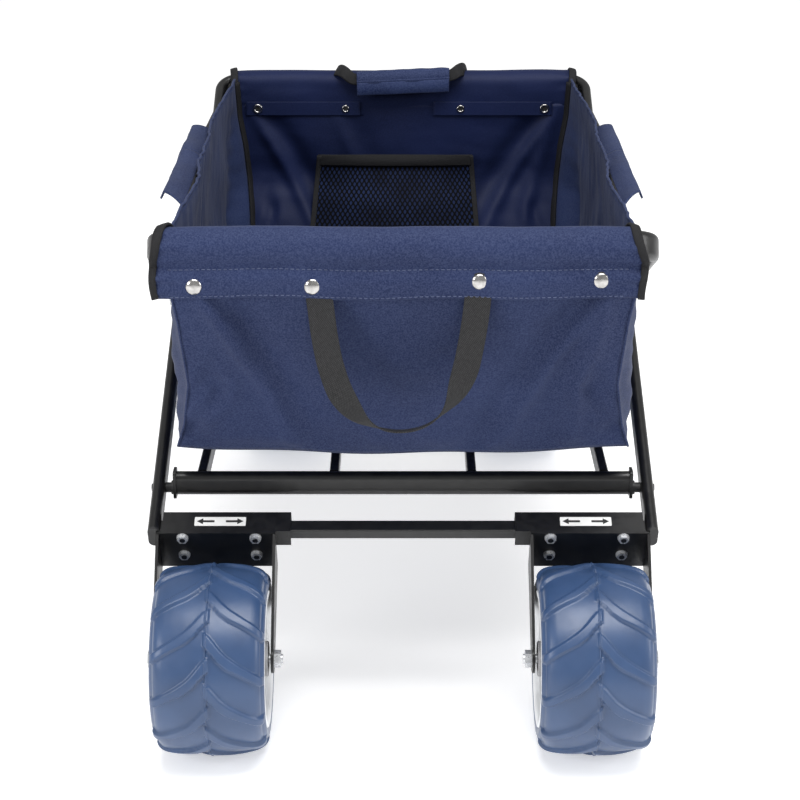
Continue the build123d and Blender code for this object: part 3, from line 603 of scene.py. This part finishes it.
def bottom_sheet(end, rows=50, cols=40):
    """Floor and chine, sagging a little between the floor bars."""
    u = np.linspace(-1, 1, rows)[:, None]
    t = np.linspace(0, 1, cols)[None, :]
    y = t * CHINE[0]
    rise = np.clip((y - FLOOR_END) / (CHINE[0] - FLOOR_END), 0, 1)
    z = FLOOR_Z + (CHINE[1] - FLOOR_Z) * rise + 0 * u
    x = u * floor_half_width(end, t)
    p = np.stack([x, end * y + 0 * u, z], axis=-1)
    swell = lumps(p, 0.09, 17 + end)
    p[..., 2] += 0.0015 * swell * (1 - rise) * (1 - u ** 8) * smooth(t / 0.05)
    p[..., 2] -= 0.0075 * rise * (1 - u ** 2) * smooth(t)
    p[..., 2] += 0.0012 * np.sin(u * 9) * smooth((t - 0.85) / 0.15)
    return p


# Rim sleeve, as an outline in (distance past the rim tube's centre, height above it).
SLEEVE = [
    (-0.0150, -0.0400), (-0.0158, -0.0240), (-0.0160, -0.0060), (-0.0140, 0.0080), (-0.0070, 0.0150),
    (0.0020, 0.0166), (0.0100, 0.0132), (0.0158, 0.0060), (0.0180, -0.0030), (0.0172, -0.0105),
    (0.0146, -0.0155), (0.0138, -0.0185), (0.0156, -0.0225), (0.0182, -0.0290), (0.0186, -0.0380),
    (0.0168, -0.0500),
]
NEAR_END_X = ((0, 0.35, 0.55, 0.72, 1), (0.2270, 0.2272, 0.2340, 0.2410, 0.2395))
NEAR_RIGHT_CUT = 0.009       # the near sleeve stops this much shorter on the right
FAR_END_X = ((0, 0.35, 0.55, 0.72, 1), (0.2200, 0.2215, 0.2220, 0.2225, 0.2225))


def sleeve_sheet(end, rows=110, cols=60):
    """Cloth sleeve over the rim tube with a hemmed flap hanging on its outer side."""
    u = np.linspace(-1, 1, rows)
    t = np.linspace(0, 1, cols)
    line = spline(SLEEVE, t)
    half = ramp(*(NEAR_END_X if end < 0 else FAR_END_X), t)
    cut = NEAR_RIGHT_CUT * (end < 0)
    x = u[:, None] * (half[None, :] - cut * (u[:, None] > 0))
    out = line[None, :, 0] + 0 * x
    up = line[None, :, 1] + 0 * x
    hang = smooth((t - 0.60) / 0.4)[None, :]
    wave = lumps(np.stack([x, x * 0, x * 0], axis=-1), 0.110, 21 + end)
    small = lumps(np.stack([x, up * 1.5, x * 0], axis=-1), 0.030, 27 + end)
    near_end = np.exp(-(1 - np.abs(u[:, None])) * half[None, :] / 0.012)
    up = up + 0.0042 * wave * hang + 0.0010 * np.sin(up * 700 + x * 90) * near_end
    up = up + 0.0016 * wave * (1 - hang)
    out = out + 0.0012 * small * smooth((t / 0.3))[None, :]
    out = out + 0.0014 * np.sin(up * 420 + 1.0) * near_end * smooth(t / 0.4)[None, :]
    return np.stack([x, end * (RIM_Y + out), RIM_Z + up], axis=-1)


def ride_squashed(obj, body, nodes=()):
    """Cloth that rides on its half of the basket, given a mesh of its own."""
    ride_plain(obj, body, nodes)
    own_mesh(obj)
    return obj


def ride_plain(obj, body, nodes=()):
    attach(obj, body)
    if nodes:
        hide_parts(*nodes)
    return obj


def label_of(side):
    return "left" if side < 0 else "right"


HALVES = ((-1, "basket_rear", "near", NEAR_END_X), (1, "basket_front", "far", FAR_END_X))
for end, body, tag, _ in HALVES:
    # The end panel's inner face is in the darker lining: painted shade.
    piece = sheet(tag + "_end_panel", end_panel(end), OUTER, back=SHADED_LINING, flip=(end > 0))
    ride_squashed(piece, body, (body,))
    for side in (-1, 1):
        wall = side_panel(side, end)
        name = f"{tag}_side_panel_{label_of(side)}"
        # The side panel's inner face is in the lighter side lining: painted light.
        piece = sheet(name, wall, OUTER, back=LIT_SIDE_LINING, flip=(side * end < 0))
        ride_squashed(piece, body)
        t = np.linspace(0, 0.86, 70)
        seam = corner_curve(end, t) * np.array([side, 1, 1])
        seam[:, 1] += end * 0.0006
        ride_squashed(cord(name.replace("panel", "piping"), seam, 0.0013, OUTER), body)
        hem = wall[:, -1, :] + np.array([0, 0, 0.0004])
        ride_squashed(cord(name.replace("panel", "hem"), hem, 0.0016, OUTER), body)
        if end > 0:
            inner = corner_curve(end, np.linspace(0.05, 0.99, 60))
            inner[:, 0] -= 0.0035
            inner[:, 1] -= 0.0035
            inner[:, 0] *= side
            lean = np.tile([side * 0.75, 1.0, 0.0], (60, 1)) * [-1, 1, 1]
            strip = ribbon(f"far_corner_binding_{label_of(side)}", inner, lean, BINDING, 0.009, 0.0016)
            ride_squashed(strip, body)
    # The floor's inside is in the darker lining: painted shade.
    piece = sheet(tag + "_basket_floor", bottom_sheet(end), SHADED_LINING, back=OUTER, flip=(end < 0))
    ride_squashed(piece, body)
    rim = sleeve_sheet(end)
    # The far sleeve shows the darker lining: painted shade.
    outside = OUTER if end < 0 else SHADED_LINING
    ride_plain(sheet(tag + "_rim_sleeve", rim, outside, back=SHADED_LINING, flip=(end < 0)), body)
    normals = grid_normals(rim) * end
    for label, share in (("hem", 0.975), ("flap", 0.795)):
        col = int(round(share * (rim.shape[1] - 1)))
        line = rim[3:-3, col] + normals[3:-3, col] * (CLOTH / 2)
        ride_plain(stitches(f"{tag}_{label}_stitches", line, normals[3:-3, col], THREAD), body)

# ---- rim bindings ----
for end, body, tag, ends in HALVES:
    t = np.linspace(0.02, 1.0, BINDING_POINTS)
    line = spline(SLEEVE, t)
    tangent = np.gradient(line, axis=0)
    tangent /= np.linalg.norm(tangent, axis=1, keepdims=True)
    outward = np.stack([-tangent[:, 1], tangent[:, 0]], axis=1)
    line = line + outward * 0.0016
    half = ramp(*ends, t)
    for side in (-1, 1):
        wobble = 0.0010 * np.sin(t * 17 + side) - NEAR_RIGHT_CUT * (end < 0 < side)
        path_x = side * (half + 0.0015 + wobble)
        path = np.stack([path_x, end * (RIM_Y + line[:, 0]), RIM_Z + line[:, 1]], axis=-1)
        across = np.tile([1.0, 0, 0], (BINDING_POINTS, 1))
        across[:, 1] = 0.25 * side * end
        across[:, 2] = -0.3 * side * smooth((t - 0.2) / 0.3) * (1 - smooth((t - 0.5) / 0.2))
        wide = 0.0085 + 0.0015 * np.sin(t * 5)
        piece = ribbon(f"{tag}_rim_binding_{label_of(side)}", path, across, BINDING, wide, 0.0032)
        ride_plain(piece, body, (f"rim_bindings_{tag}",))

# ---- webbing loop ----
LOOP = [
    (-0.0820, -0.3962, 0.4960), (-0.0800, -0.3980, 0.4800), (-0.0765, -0.4010, 0.4520),
    (-0.0700, -0.4045, 0.4200), (-0.0590, -0.4090, 0.3920), (-0.0380, -0.4140, 0.3690),
    (-0.0080, -0.4165, 0.3590), (0.0220, -0.4150, 0.3640), (0.0450, -0.4105, 0.3830),
    (0.0590, -0.4055, 0.4120), (0.0670, -0.4015, 0.4470), (0.0715, -0.3985, 0.4780),
    (0.0735, -0.3965, 0.4980),
]
LOOP_POINTS = 160
LOOP_TWIST = math.radians(74)
LOOP_WIDE = 0.0262
t = np.linspace(0, 1, LOOP_POINTS)
path = spline(LOOP, t)
turn = smooth(np.minimum((t - 0.27) / 0.20, (0.80 - t) / 0.20)) * LOOP_TWIST
tangent = np.gradient(path, axis=0)
tangent /= np.linalg.norm(tangent, axis=1, keepdims=True)
face = np.tile([0.0, -1.0, 0.0], (LOOP_POINTS, 1))
flatways = np.cross(face, tangent)
across = flatways * np.cos(turn)[:, None] + face * np.sin(turn)[:, None]
loop = ribbon("webbing_carry_loop", path, across, MAT["black_webbing"], LOOP_WIDE, 0.0016)
ride_plain(loop, "basket_rear", ("webbing_loop",))

# ---- inside of the far panel ----
def on_far_panel(x, z, lift):
    """Point on the inner face of the far panel."""
    y = wall_at(1, np.asarray(z, float))
    return np.stack([x + 0 * y, y - lift + 0 * np.asarray(x), z + 0 * y], axis=-1)


def far_patch(name, x0, x1, z0, z1, lift, material, thick, flare=(0.0, 0.0), rows=50, cols=30, swell=0.0):
    u = np.linspace(0, 1, rows)[:, None]
    b = np.linspace(0, 1, cols)[None, :]
    z = z1 + (z0 - z1) * b + 0 * u
    left = x0 + flare[0] * b
    right = x1 + flare[1] * b
    x = left + (right - left) * u
    ripple = lumps(np.stack([x, z * 0, z * 0.4], axis=-1), 0.06, 31)
    out = lift + swell * np.sin(math.pi * u) * np.sin(math.pi * np.clip(b, 0, 0.75) / 1.5)
    out = out + 0.0016 * ripple * (swell > 0) * np.sin(math.pi * u)
    return sheet(name, on_far_panel(x, z, out), material, thick)


FAR_LIFT = 0.0030
# The far hem strips are in the darker lining: painted shade.
for name, x0, x1 in (("far_hem_strip_left", -0.2080, -0.0570), ("far_hem_strip_right", 0.0400, 0.1970)):
    ride_squashed(far_patch(name, x0, x1, 0.5010, 0.5190, FAR_LIFT, SHADED_LINING, 0.0016), "basket_front")
POCKET_FLARE = (-0.0095, 0.0080)
pocket = far_patch(
    "mesh_pocket_net", -0.1120, 0.0910, 0.3560, 0.4350, 0.0075, NET, 0.0012, POCKET_FLARE, swell=0.016
)
ride_squashed(pocket, "basket_front", ("mesh_pocket",))
band = far_patch(
    "mesh_pocket_band", -0.1130, 0.0920, 0.4345, 0.4490, 0.0080, BINDING, 0.0026, swell=0.004, cols=12
)
ride_squashed(band, "basket_front")
for side, x0, lean in ((-1, -0.1145, POCKET_FLARE[0]), (1, 0.0870, POCKET_FLARE[1])):
    name = "mesh_pocket_edge_" + label_of(side)
    strip = far_patch(name, x0, x0 + 0.0065, 0.3550, 0.4480, 0.0085, BINDING, 0.0018, (lean, lean), 8, 30)
    ride_squashed(strip, "basket_front")


def ring_mesh(name, centre, profile, material, around=32, lean=0.0):
    """Turned shape about the Y axis at centre; profile holds (radius, height towards -Y)."""
    verts, faces = [], []
    for k in range(around):
        q = 2 * math.pi * k / around
        for r, h in profile:
            verts.append((centre[0] + r * math.cos(q), centre[1] - h, centre[2] + r * math.sin(q) + lean * h))
    n = len(profile)
    for k in range(around):
        m = (k + 1) % around
        for i in range(n - 1):
            faces.append((k * n + i, k * n + i + 1, m * n + i + 1, m * n + i))
    return make_object(name, verts, faces, material)


# Press studs: outlines in (radius, height), places in (x, z) and, on the far panel, a size factor.
SNAP_COLLAR = [(0.0052, 0), (0.0050, 0.0012), (0.0042, 0.0018), (0.0030, 0.0014), (0.0026, 0.0002)]
# Dark disc under each near dome, a little wider than it: painted shade round the dome's foot.
SNAP_FOOT_SHADE = [(0.0092, 0), (0.0092, 0.0004), (0.0080, 0.0006)]
SNAP_DOME = [
    (0.0081, -0.0002), (0.0082, 0.0006), (0.0077, 0.0013), (0.0066, 0.0022), (0.0046, 0.0031),
    (0.0022, 0.0035), (0.00001, 0.0036),
]
NEAR_SNAPS = [(-0.2030, 0.5020), (-0.0880, 0.5020), (0.0740, 0.5070), (0.1920, 0.5080)]
NEAR_SNAP_Y = -0.3974
FAR_SNAPS = [(-0.1920, 0.5100, 1.25), (-0.0760, 0.5100, 1.0), (0.0760, 0.5100, 1.0), (0.1870, 0.5100, 1.25)]
for i, (x, z, big) in enumerate(FAR_SNAPS):
    y = float(wall_at(1, np.array(z))) - FAR_LIFT - 0.0010
    collar = [(r * big, h) for r, h in SNAP_COLLAR]
    piece = ring_mesh(f"far_snap_collar_{i + 1}", (x, y, z), collar, MAT["snap_chrome"])
    ride_squashed(piece, "basket_front", ("snaps_far",))
    # Dark disc in the hollow of each far collar: painted shade.
    bottom = [(0.0028 * big, 0.0004), (0.00001, 0.0003)]
    hole = ring_mesh(f"far_snap_hole_{i + 1}", (x, y, z), bottom, SNAP_SHADE)
    ride_squashed(hole, "basket_front")

for i, (x, z) in enumerate(NEAR_SNAPS):
    foot_shade = ring_mesh(f"near_snap_seat_{i + 1}", (x, NEAR_SNAP_Y, z), SNAP_FOOT_SHADE, SNAP_SHADE)
    ride_plain(foot_shade, "basket_rear")
    place = (x, NEAR_SNAP_Y - 0.0002, z)
    dome = ring_mesh(f"near_snap_{i + 1}", place, SNAP_DOME, MAT["snap_chrome"], 40)
    ride_plain(dome, "basket_rear", ("snaps_near",))

# ---- carry handle on the far rim ----
CARRY = [
    (-0.0900, 0.3850, 0.5480), (-0.0860, 0.3720, 0.5590), (-0.0780, 0.3610, 0.5590),
    (-0.0660, 0.3560, 0.5510), (-0.0500, 0.3540, 0.5500), (0.0000, 0.3530, 0.5520),
    (0.0500, 0.3540, 0.5540), (0.0640, 0.3560, 0.5560), (0.0740, 0.3620, 0.5610),
    (0.0790, 0.3720, 0.5600), (0.0820, 0.3850, 0.5500),
]
GRIP_Y = 0.3530             # middle of the padded grip
GRIP_Z = 0.5520
GRIP_SLOPE = 0.0026         # the grip stands this much higher on the right
GRIP_R = 0.0088
t = np.linspace(0, 1, 120)
path = spline(CARRY, t)
lie = smooth(np.minimum(t / 0.22, (1 - t) / 0.22))
across = np.stack([0.25 * (1 - lie), 0.9 * (1 - lie) + 0.45 * lie, 0.15 + 0.75 * lie], axis=-1)
strap = ribbon("carry_strap", path, across, BINDING, 0.0190 - 0.004 * lie, 0.0030)
ride_plain(strap, "basket_front", ("carry_webbing",))


def carry_wrap(rows=70, cols=44):
    """Padded cloth wrapped round the strap, its two edges closed one over the other."""
    u = np.linspace(-1, 1, rows)[:, None]
    q = np.linspace(0, 1, cols)[None, :]
    angle = math.radians(200) - q * math.radians(385)
    swell = 1 - 0.10 * u ** 6
    radius = GRIP_R * swell + 0.0006 * q
    squeeze = lumps(np.stack([u * 0.06 + 0 * q, q * 0.02 + 0 * u, 0 * u * q], axis=-1), 0.018, 41)
    radius = radius + 0.0007 * squeeze
    x = 0.0605 * u * (1 + 0 * q)
    y = GRIP_Y + radius * np.cos(angle)
    z = GRIP_Z + GRIP_SLOPE * u + 1.28 * radius * np.sin(angle)
    return np.stack([x, y, z], axis=-1)


ride_plain(sheet("carry_grip_wrap", carry_wrap(), OUTER, 0.0016, flip=True), "basket_front", ("carry_grip",))
u = np.linspace(-1, 1, 60)[:, None]
b = np.linspace(0, 1, 16)[None, :]
lap_y = 0.3438 - 0.0016 * np.sin(math.pi * b) + 0.0008 * np.sin(u * 7)
lap = np.stack([0.0600 * u + 0 * b, lap_y, 0.5500 + GRIP_SLOPE * u - 0.0160 * b], axis=-1)
# The lap is in the lighter side lining: painted light.
ride_plain(sheet("carry_grip_lap", lap, LIT_SIDE_LINING, 0.0022), "basket_front")


# ---- side flaps ----
def flap_sheet(side, y0, y1, taper0, taper1, rows=46, cols=22):
    """Soft flap sewn under the side's top edge and lying outwards, its free edge turned down."""
    u = np.linspace(0, 1, rows)[:, None]
    b = np.linspace(0, 1, cols)[None, :]
    inner = y0 + (y1 - y0) * u
    outer = (y0 + taper0) + (y1 - taper1 - y0 - taper0) * u
    y = inner + (outer - inner) * b
    wide = 0.0245 if side > 0 else 0.0270
    x = 0.2310 + wide * b + 0 * y
    z = 0.5330 + 0.0110 * np.sin(math.pi * np.clip(b, 0, 1) * 0.62) - 0.0035 * b
    z = z - 0.0080 * smooth((b - 0.82) / 0.18)
    lump = lumps(np.stack([x, y, x * 0], axis=-1), 0.055, 51 + side)
    z = z + 0.0026 * lump * smooth(b / 0.3)
    x = x + 0.0015 * lumps(np.stack([x * 0, y, x * 0], axis=-1), 0.07, 53 + side) * b
    return np.stack([side * x, y, z], axis=-1)


# Flap halves: which end, its body, from and to along the cart, and how far its ends taper.
FLAPS = (("rear", "basket_rear", -0.215, 0.0, 0.040, 0.0), ("front", "basket_front", 0.0, 0.135, 0.0, 0.012))
for side in (-1, 1):
    for where, body, *shape in FLAPS:
        flap = flap_sheet(side, *shape)
        name = f"side_flap_{where}_{label_of(side)}"
        piece = sheet(name, flap, OUTER, 0.0022, back=SHADED_LINING, flip=(side > 0))
        ride_squashed(piece, body, ("side_flaps_" + where,))


# ---- tyres and wheels ----
LUGS = 12
LUG_DEEP = 0.0034
LUG_FROM = 0.0790           # radius where the lugs and the grooves between them begin
SHOULDER = 0.022            # tyre wall below the tread, along the section
SEAM_HALF = 0.0026
# Sections in (distance from the wheel's middle, radius), from the bead to the tread's middle.
TYRE_HALF = [
    (0.0495, 0.0640), (0.0565, 0.0705), (0.0575, 0.0760), (0.0575, 0.0830), (0.0560, 0.0880),
    (0.0520, 0.0923), (0.0460, 0.0950), (0.0390, 0.0964), (0.0250, 0.0980), (0.0, 0.0992),
]
HUB_FLANGE = [
    (0.0480, 0.0600), (0.0545, 0.0620), (0.0568, 0.0645), (0.0574, 0.0680), (0.0574, 0.0700),
    (0.0566, 0.0708),
]
HUB_BOSS = [(0.0100, 0.0186), (0.0560, 0.0184), (0.0568, 0.0176), (0.0570, 0.0100)]


def tyre_mesh(around=480):
    """Blow-moulded tyre: square-shouldered section, hooked lugs on both sides and a mould seam."""
    half = spline(TYRE_HALF, np.linspace(0, 1, 300))
    s = np.concatenate([[0], np.cumsum(np.linalg.norm(np.diff(half, axis=0), axis=1))])
    side_part = np.linspace(0, SHOULDER, 8)[:-1]
    tread = np.linspace(SHOULDER, s[-1] - SEAM_HALF, 44)[:-1]
    seam_part = s[-1] - np.array([SEAM_HALF, 0.0018, 0.0012, 0.0007, 0.0003, 0.0])
    cut = np.concatenate([side_part, tread, seam_part])
    right = np.stack([np.interp(cut, s, half[:, 0]), np.interp(cut, s, half[:, 1])], axis=1)
    left = right[::-1][1:] * np.array([-1, 1])
    profile = np.concatenate([right, left])
    slope = np.gradient(profile, axis=0)
    slope /= np.linalg.norm(slope, axis=1, keepdims=True)
    normal = np.stack([slope[:, 1], -slope[:, 0]], axis=1)
    normal *= np.where((normal * (profile - [0, 0.07])).sum(axis=1, keepdims=True) < 0, -1, 1)
    phi = np.linspace(0, 2 * math.pi, around, endpoint=False)
    u, r = profile[:, 0][:, None], profile[:, 1][:, None]
    arc = phi[None, :] * WHEEL_R
    pitch = 2 * math.pi * WHEEL_R / LUGS
    height = np.zeros((len(profile), around))
    tread_share = smooth((r - LUG_FROM) / 0.0060)
    for side, shift in ((-1, 0.0), (1, 0.5)):
        q = side * u
        rise = 0.60 * (0.050 - q) + 0.0075 * smooth((0.024 - q) / 0.026)
        thick = 0.0062 + 0.0022 * smooth((0.040 - q) / 0.030) + 0.0030 * smooth((0.016 - q) / 0.016)
        off = np.mod(arc - rise - shift * pitch + pitch / 2, pitch) - pitch / 2
        hook = 4.0 * np.maximum(0, -off - 0.004) * (q < 0.012)
        inside = np.minimum((thick - np.abs(off)) * 0.80, q + 0.0030 - hook)
        height = np.maximum(height, smooth(inside / 0.0014) * tread_share)
    seam_at = 0.0005 * np.sin(phi * 5 + 0.7) + 0.0003 * np.sin(phi * 13)
    seam = 0.0012 * np.exp(-((u - seam_at[None, :]) / 0.00060) ** 2) * (r > 0.09)
    dip = -0.0004 * np.exp(-((u / 0.0022) ** 2)) * (r > 0.09)
    lift = LUG_DEEP * (height - 1) * tread_share + seam + dip
    x = u + normal[:, :1] * lift
    radius = r + normal[:, 1:] * lift
    y = -radius * np.cos(phi)[None, :]
    z = radius * np.sin(phi)[None, :]
    verts = np.stack([x, y, z], axis=-1).reshape(-1, 3)
    n = len(profile)
    faces = []
    for i in range(n):
        m = (i + 1) % n
        for k in range(around):
            w = (k + 1) % around
            faces.append((i * around + k, m * around + k, m * around + w, i * around + w))
    return verts, faces


def turned_pair(name, outline, material, around=96):
    """Ring turned about X on both sides of a wheel; outline holds (distance from the middle, radius)."""
    verts, faces = [], []
    n = len(outline)
    for side in (-1, 1):
        base = len(verts)
        for k in range(around):
            q = 2 * math.pi * k / around
            for x, r in outline:
                verts.append((side * x, MIDDLE_Y + r * math.cos(q), r * math.sin(q)))
        for k in range(around):
            m = (k + 1) % around
            for i in range(n - 1):
                face = (base + k * n + i, base + k * n + i + 1, base + m * n + i + 1, base + m * n + i)
                faces.append(face if side > 0 else face[::-1])
    return make_object(name, verts, faces, material)


WHEELS = (
    ("rear_left_wheel", -REAR_WHEEL[0], REAR_WHEEL[1]), ("rear_right_wheel", *REAR_WHEEL),
    ("front_left_wheel", -CASTER[0], CASTER[1]), ("front_right_wheel", *CASTER),
)
tyre_verts, tyre_faces = tyre_mesh()
first_tyre = None
for name, x, y in WHEELS:
    if first_tyre is None:
        centred = tyre_verts + [0, MIDDLE_Y, 0]
        tyre = make_object(name + "_treaded_tyre", centred, tyre_faces, MAT["tyre_blue"])
        first_tyre = tyre
    else:
        tyre = bpy.data.objects.new(name + "_treaded_tyre", first_tyre.data)
        bpy.context.scene.collection.objects.link(tyre)
    tyre.location = (x, y - MIDDLE_Y, WHEEL_R)
    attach(tyre, name)
    for part, outline, finish, material_slot in (
        ("rim_flange", HUB_FLANGE, MAT["wheel_white"], "wheel_white"),
        ("hub_boss", HUB_BOSS, MAT["nylon_grey"], "nylon_grey"),
    ):
        ring = turned_pair(f"{name}_{part}", outline, finish)
        ring.location = (x, y - MIDDLE_Y, WHEEL_R)
        ride_plain(ring, name)
    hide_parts(name + "_tyre")

# ---- arrows on the carriage markers ----
SLOPE = math.atan2(0.329, 0.704)    # the markers lie along the leg frame
ARROW_X = 0.0145


def arrow_outline(x, direction):
    tip, neck, tail = x + direction * 0.0100, x + direction * 0.0035, x - direction * 0.0085
    upper = [(neck, 0.0040), (neck, 0.0014), (tail, 0.0014)]
    return [(tip, 0)] + upper + [(a, -b) for a, b in upper[::-1]]


for label in ("left", "right"):
    low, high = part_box(f"rear_{label}_marker")
    centre = (low + high) / 2
    along = Vector((0, math.cos(SLOPE), math.sin(SLOPE)))
    lift = Vector((0, -math.sin(SLOPE), math.cos(SLOPE))) * 0.0004
    verts, faces = [], []
    for x, direction in ((-ARROW_X, -1), (ARROW_X, 1)):
        outline = arrow_outline(x, direction)
        base = len(verts)
        for dx, dy in outline:
            verts.append(centre + Vector((dx, MIDDLE_Y, 0)) + along * dy + lift)
        faces.append(tuple(base + i for i in (range(7) if direction > 0 else range(6, -1, -1))))
    arrows = make_object(f"rear_{label}_marker_arrows", verts, faces, INK, flat=True)
    ride_plain(arrows, f"rear_{label}_carriage")

# ---- stage ----
FLOOR_HALF = 8
FLOOR_GLOW = 0.44           # keeps the floor white under the camera
SOFT_LIGHT = 0.52           # light from the white surroundings
floor_mesh = bpy.data.meshes.new("studio_floor")
corners = [(x * FLOOR_HALF, y * FLOOR_HALF, 0) for x, y in ((-1, -1), (1, -1), (1, 1), (-1, 1))]
floor_mesh.from_pydata(corners, [], [(0, 1, 2, 3)])
floor = bpy.data.objects.new("studio_floor", floor_mesh)
bpy.context.scene.collection.objects.link(floor)
pale, tree, bsdf = new_material("studio_white")
bsdf.inputs["Base Color"].default_value = (0.93, 0.93, 0.93, 1)
bsdf.inputs["Emission Color"].default_value = (1, 1, 1, 1)
bsdf.inputs["Emission Strength"].default_value = FLOOR_GLOW
bsdf.inputs["Roughness"].default_value = 0.9
bsdf.inputs["Specular IOR Level"].default_value = 0.1
floor_mesh.materials.append(pale)

# The floor follows the wheels, which stand lower than the frame's origin once the frame folds.
probe = bpy.data.objects.new("wheel_height", None)
probe.location = (-CASTER[0], CASTER[1] - MIDDLE_Y, WHEEL_R)
bpy.context.scene.collection.objects.link(probe)
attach(probe, "front_left_caster")
floor.location.z = -WHEEL_R
follow = floor.constraints.new("COPY_LOCATION")
follow.target = probe
follow.use_x = False
follow.use_y = False
follow.use_offset = True

world = bpy.context.scene.world or bpy.data.worlds.new("studio")
bpy.context.scene.world = world
world.use_nodes = True
sky = world.node_tree.nodes["Background"]
sky.inputs["Color"].default_value = (1, 1, 1, 1)
view_ray = world.node_tree.nodes.new("ShaderNodeLightPath").outputs["Is Camera Ray"]
strength = spread(world.node_tree, view_ray, 0.0, 1.0, SOFT_LIGHT, 1.0)
world.node_tree.links.new(strength, sky.inputs["Strength"])


def area_light(name, place, aim, size, power):
    data = bpy.data.lights.new(name, "AREA")
    data.shape = "RECTANGLE"
    data.size, data.size_y = size
    data.energy = power
    lamp = bpy.data.objects.new(name, data)
    lamp.location = place
    lamp.rotation_mode = "QUATERNION"
    lamp.rotation_quaternion = (Vector(aim) - Vector(place)).to_track_quat("-Z", "Y")
    bpy.context.scene.collection.objects.link(lamp)


area_light("key_top", (0.3, -1.0, 3.0), (0, -0.1, 0.3), (2.2, 1.6), 82)
area_light("fill_left", (-2.4, -2.2, 1.5), (0, -0.3, 0.3), (1.2, 1.2), 34)
area_light("side_right", (2.6, -1.0, 1.2), (0, -0.2, 0.25), (1.0, 1.4), 22)

CAMERA_DOWN = 20.69         # degrees below level
camera_data = bpy.data.cameras.new("camera")
camera_data.lens = 90
camera_data.sensor_width = 36
camera_data.shift_x = -3 / 800
camera = bpy.data.objects.new("camera", camera_data)
camera.location = (0, -2.249 - MIDDLE_Y, 1.084)
camera.rotation_euler = (math.radians(90 - CAMERA_DOWN), 0, 0)
bpy.context.scene.collection.objects.link(camera)
bpy.context.scene.camera = camera
bpy.context.scene.view_settings.view_transform = "Standard"

bpy.context.view_layer.update()
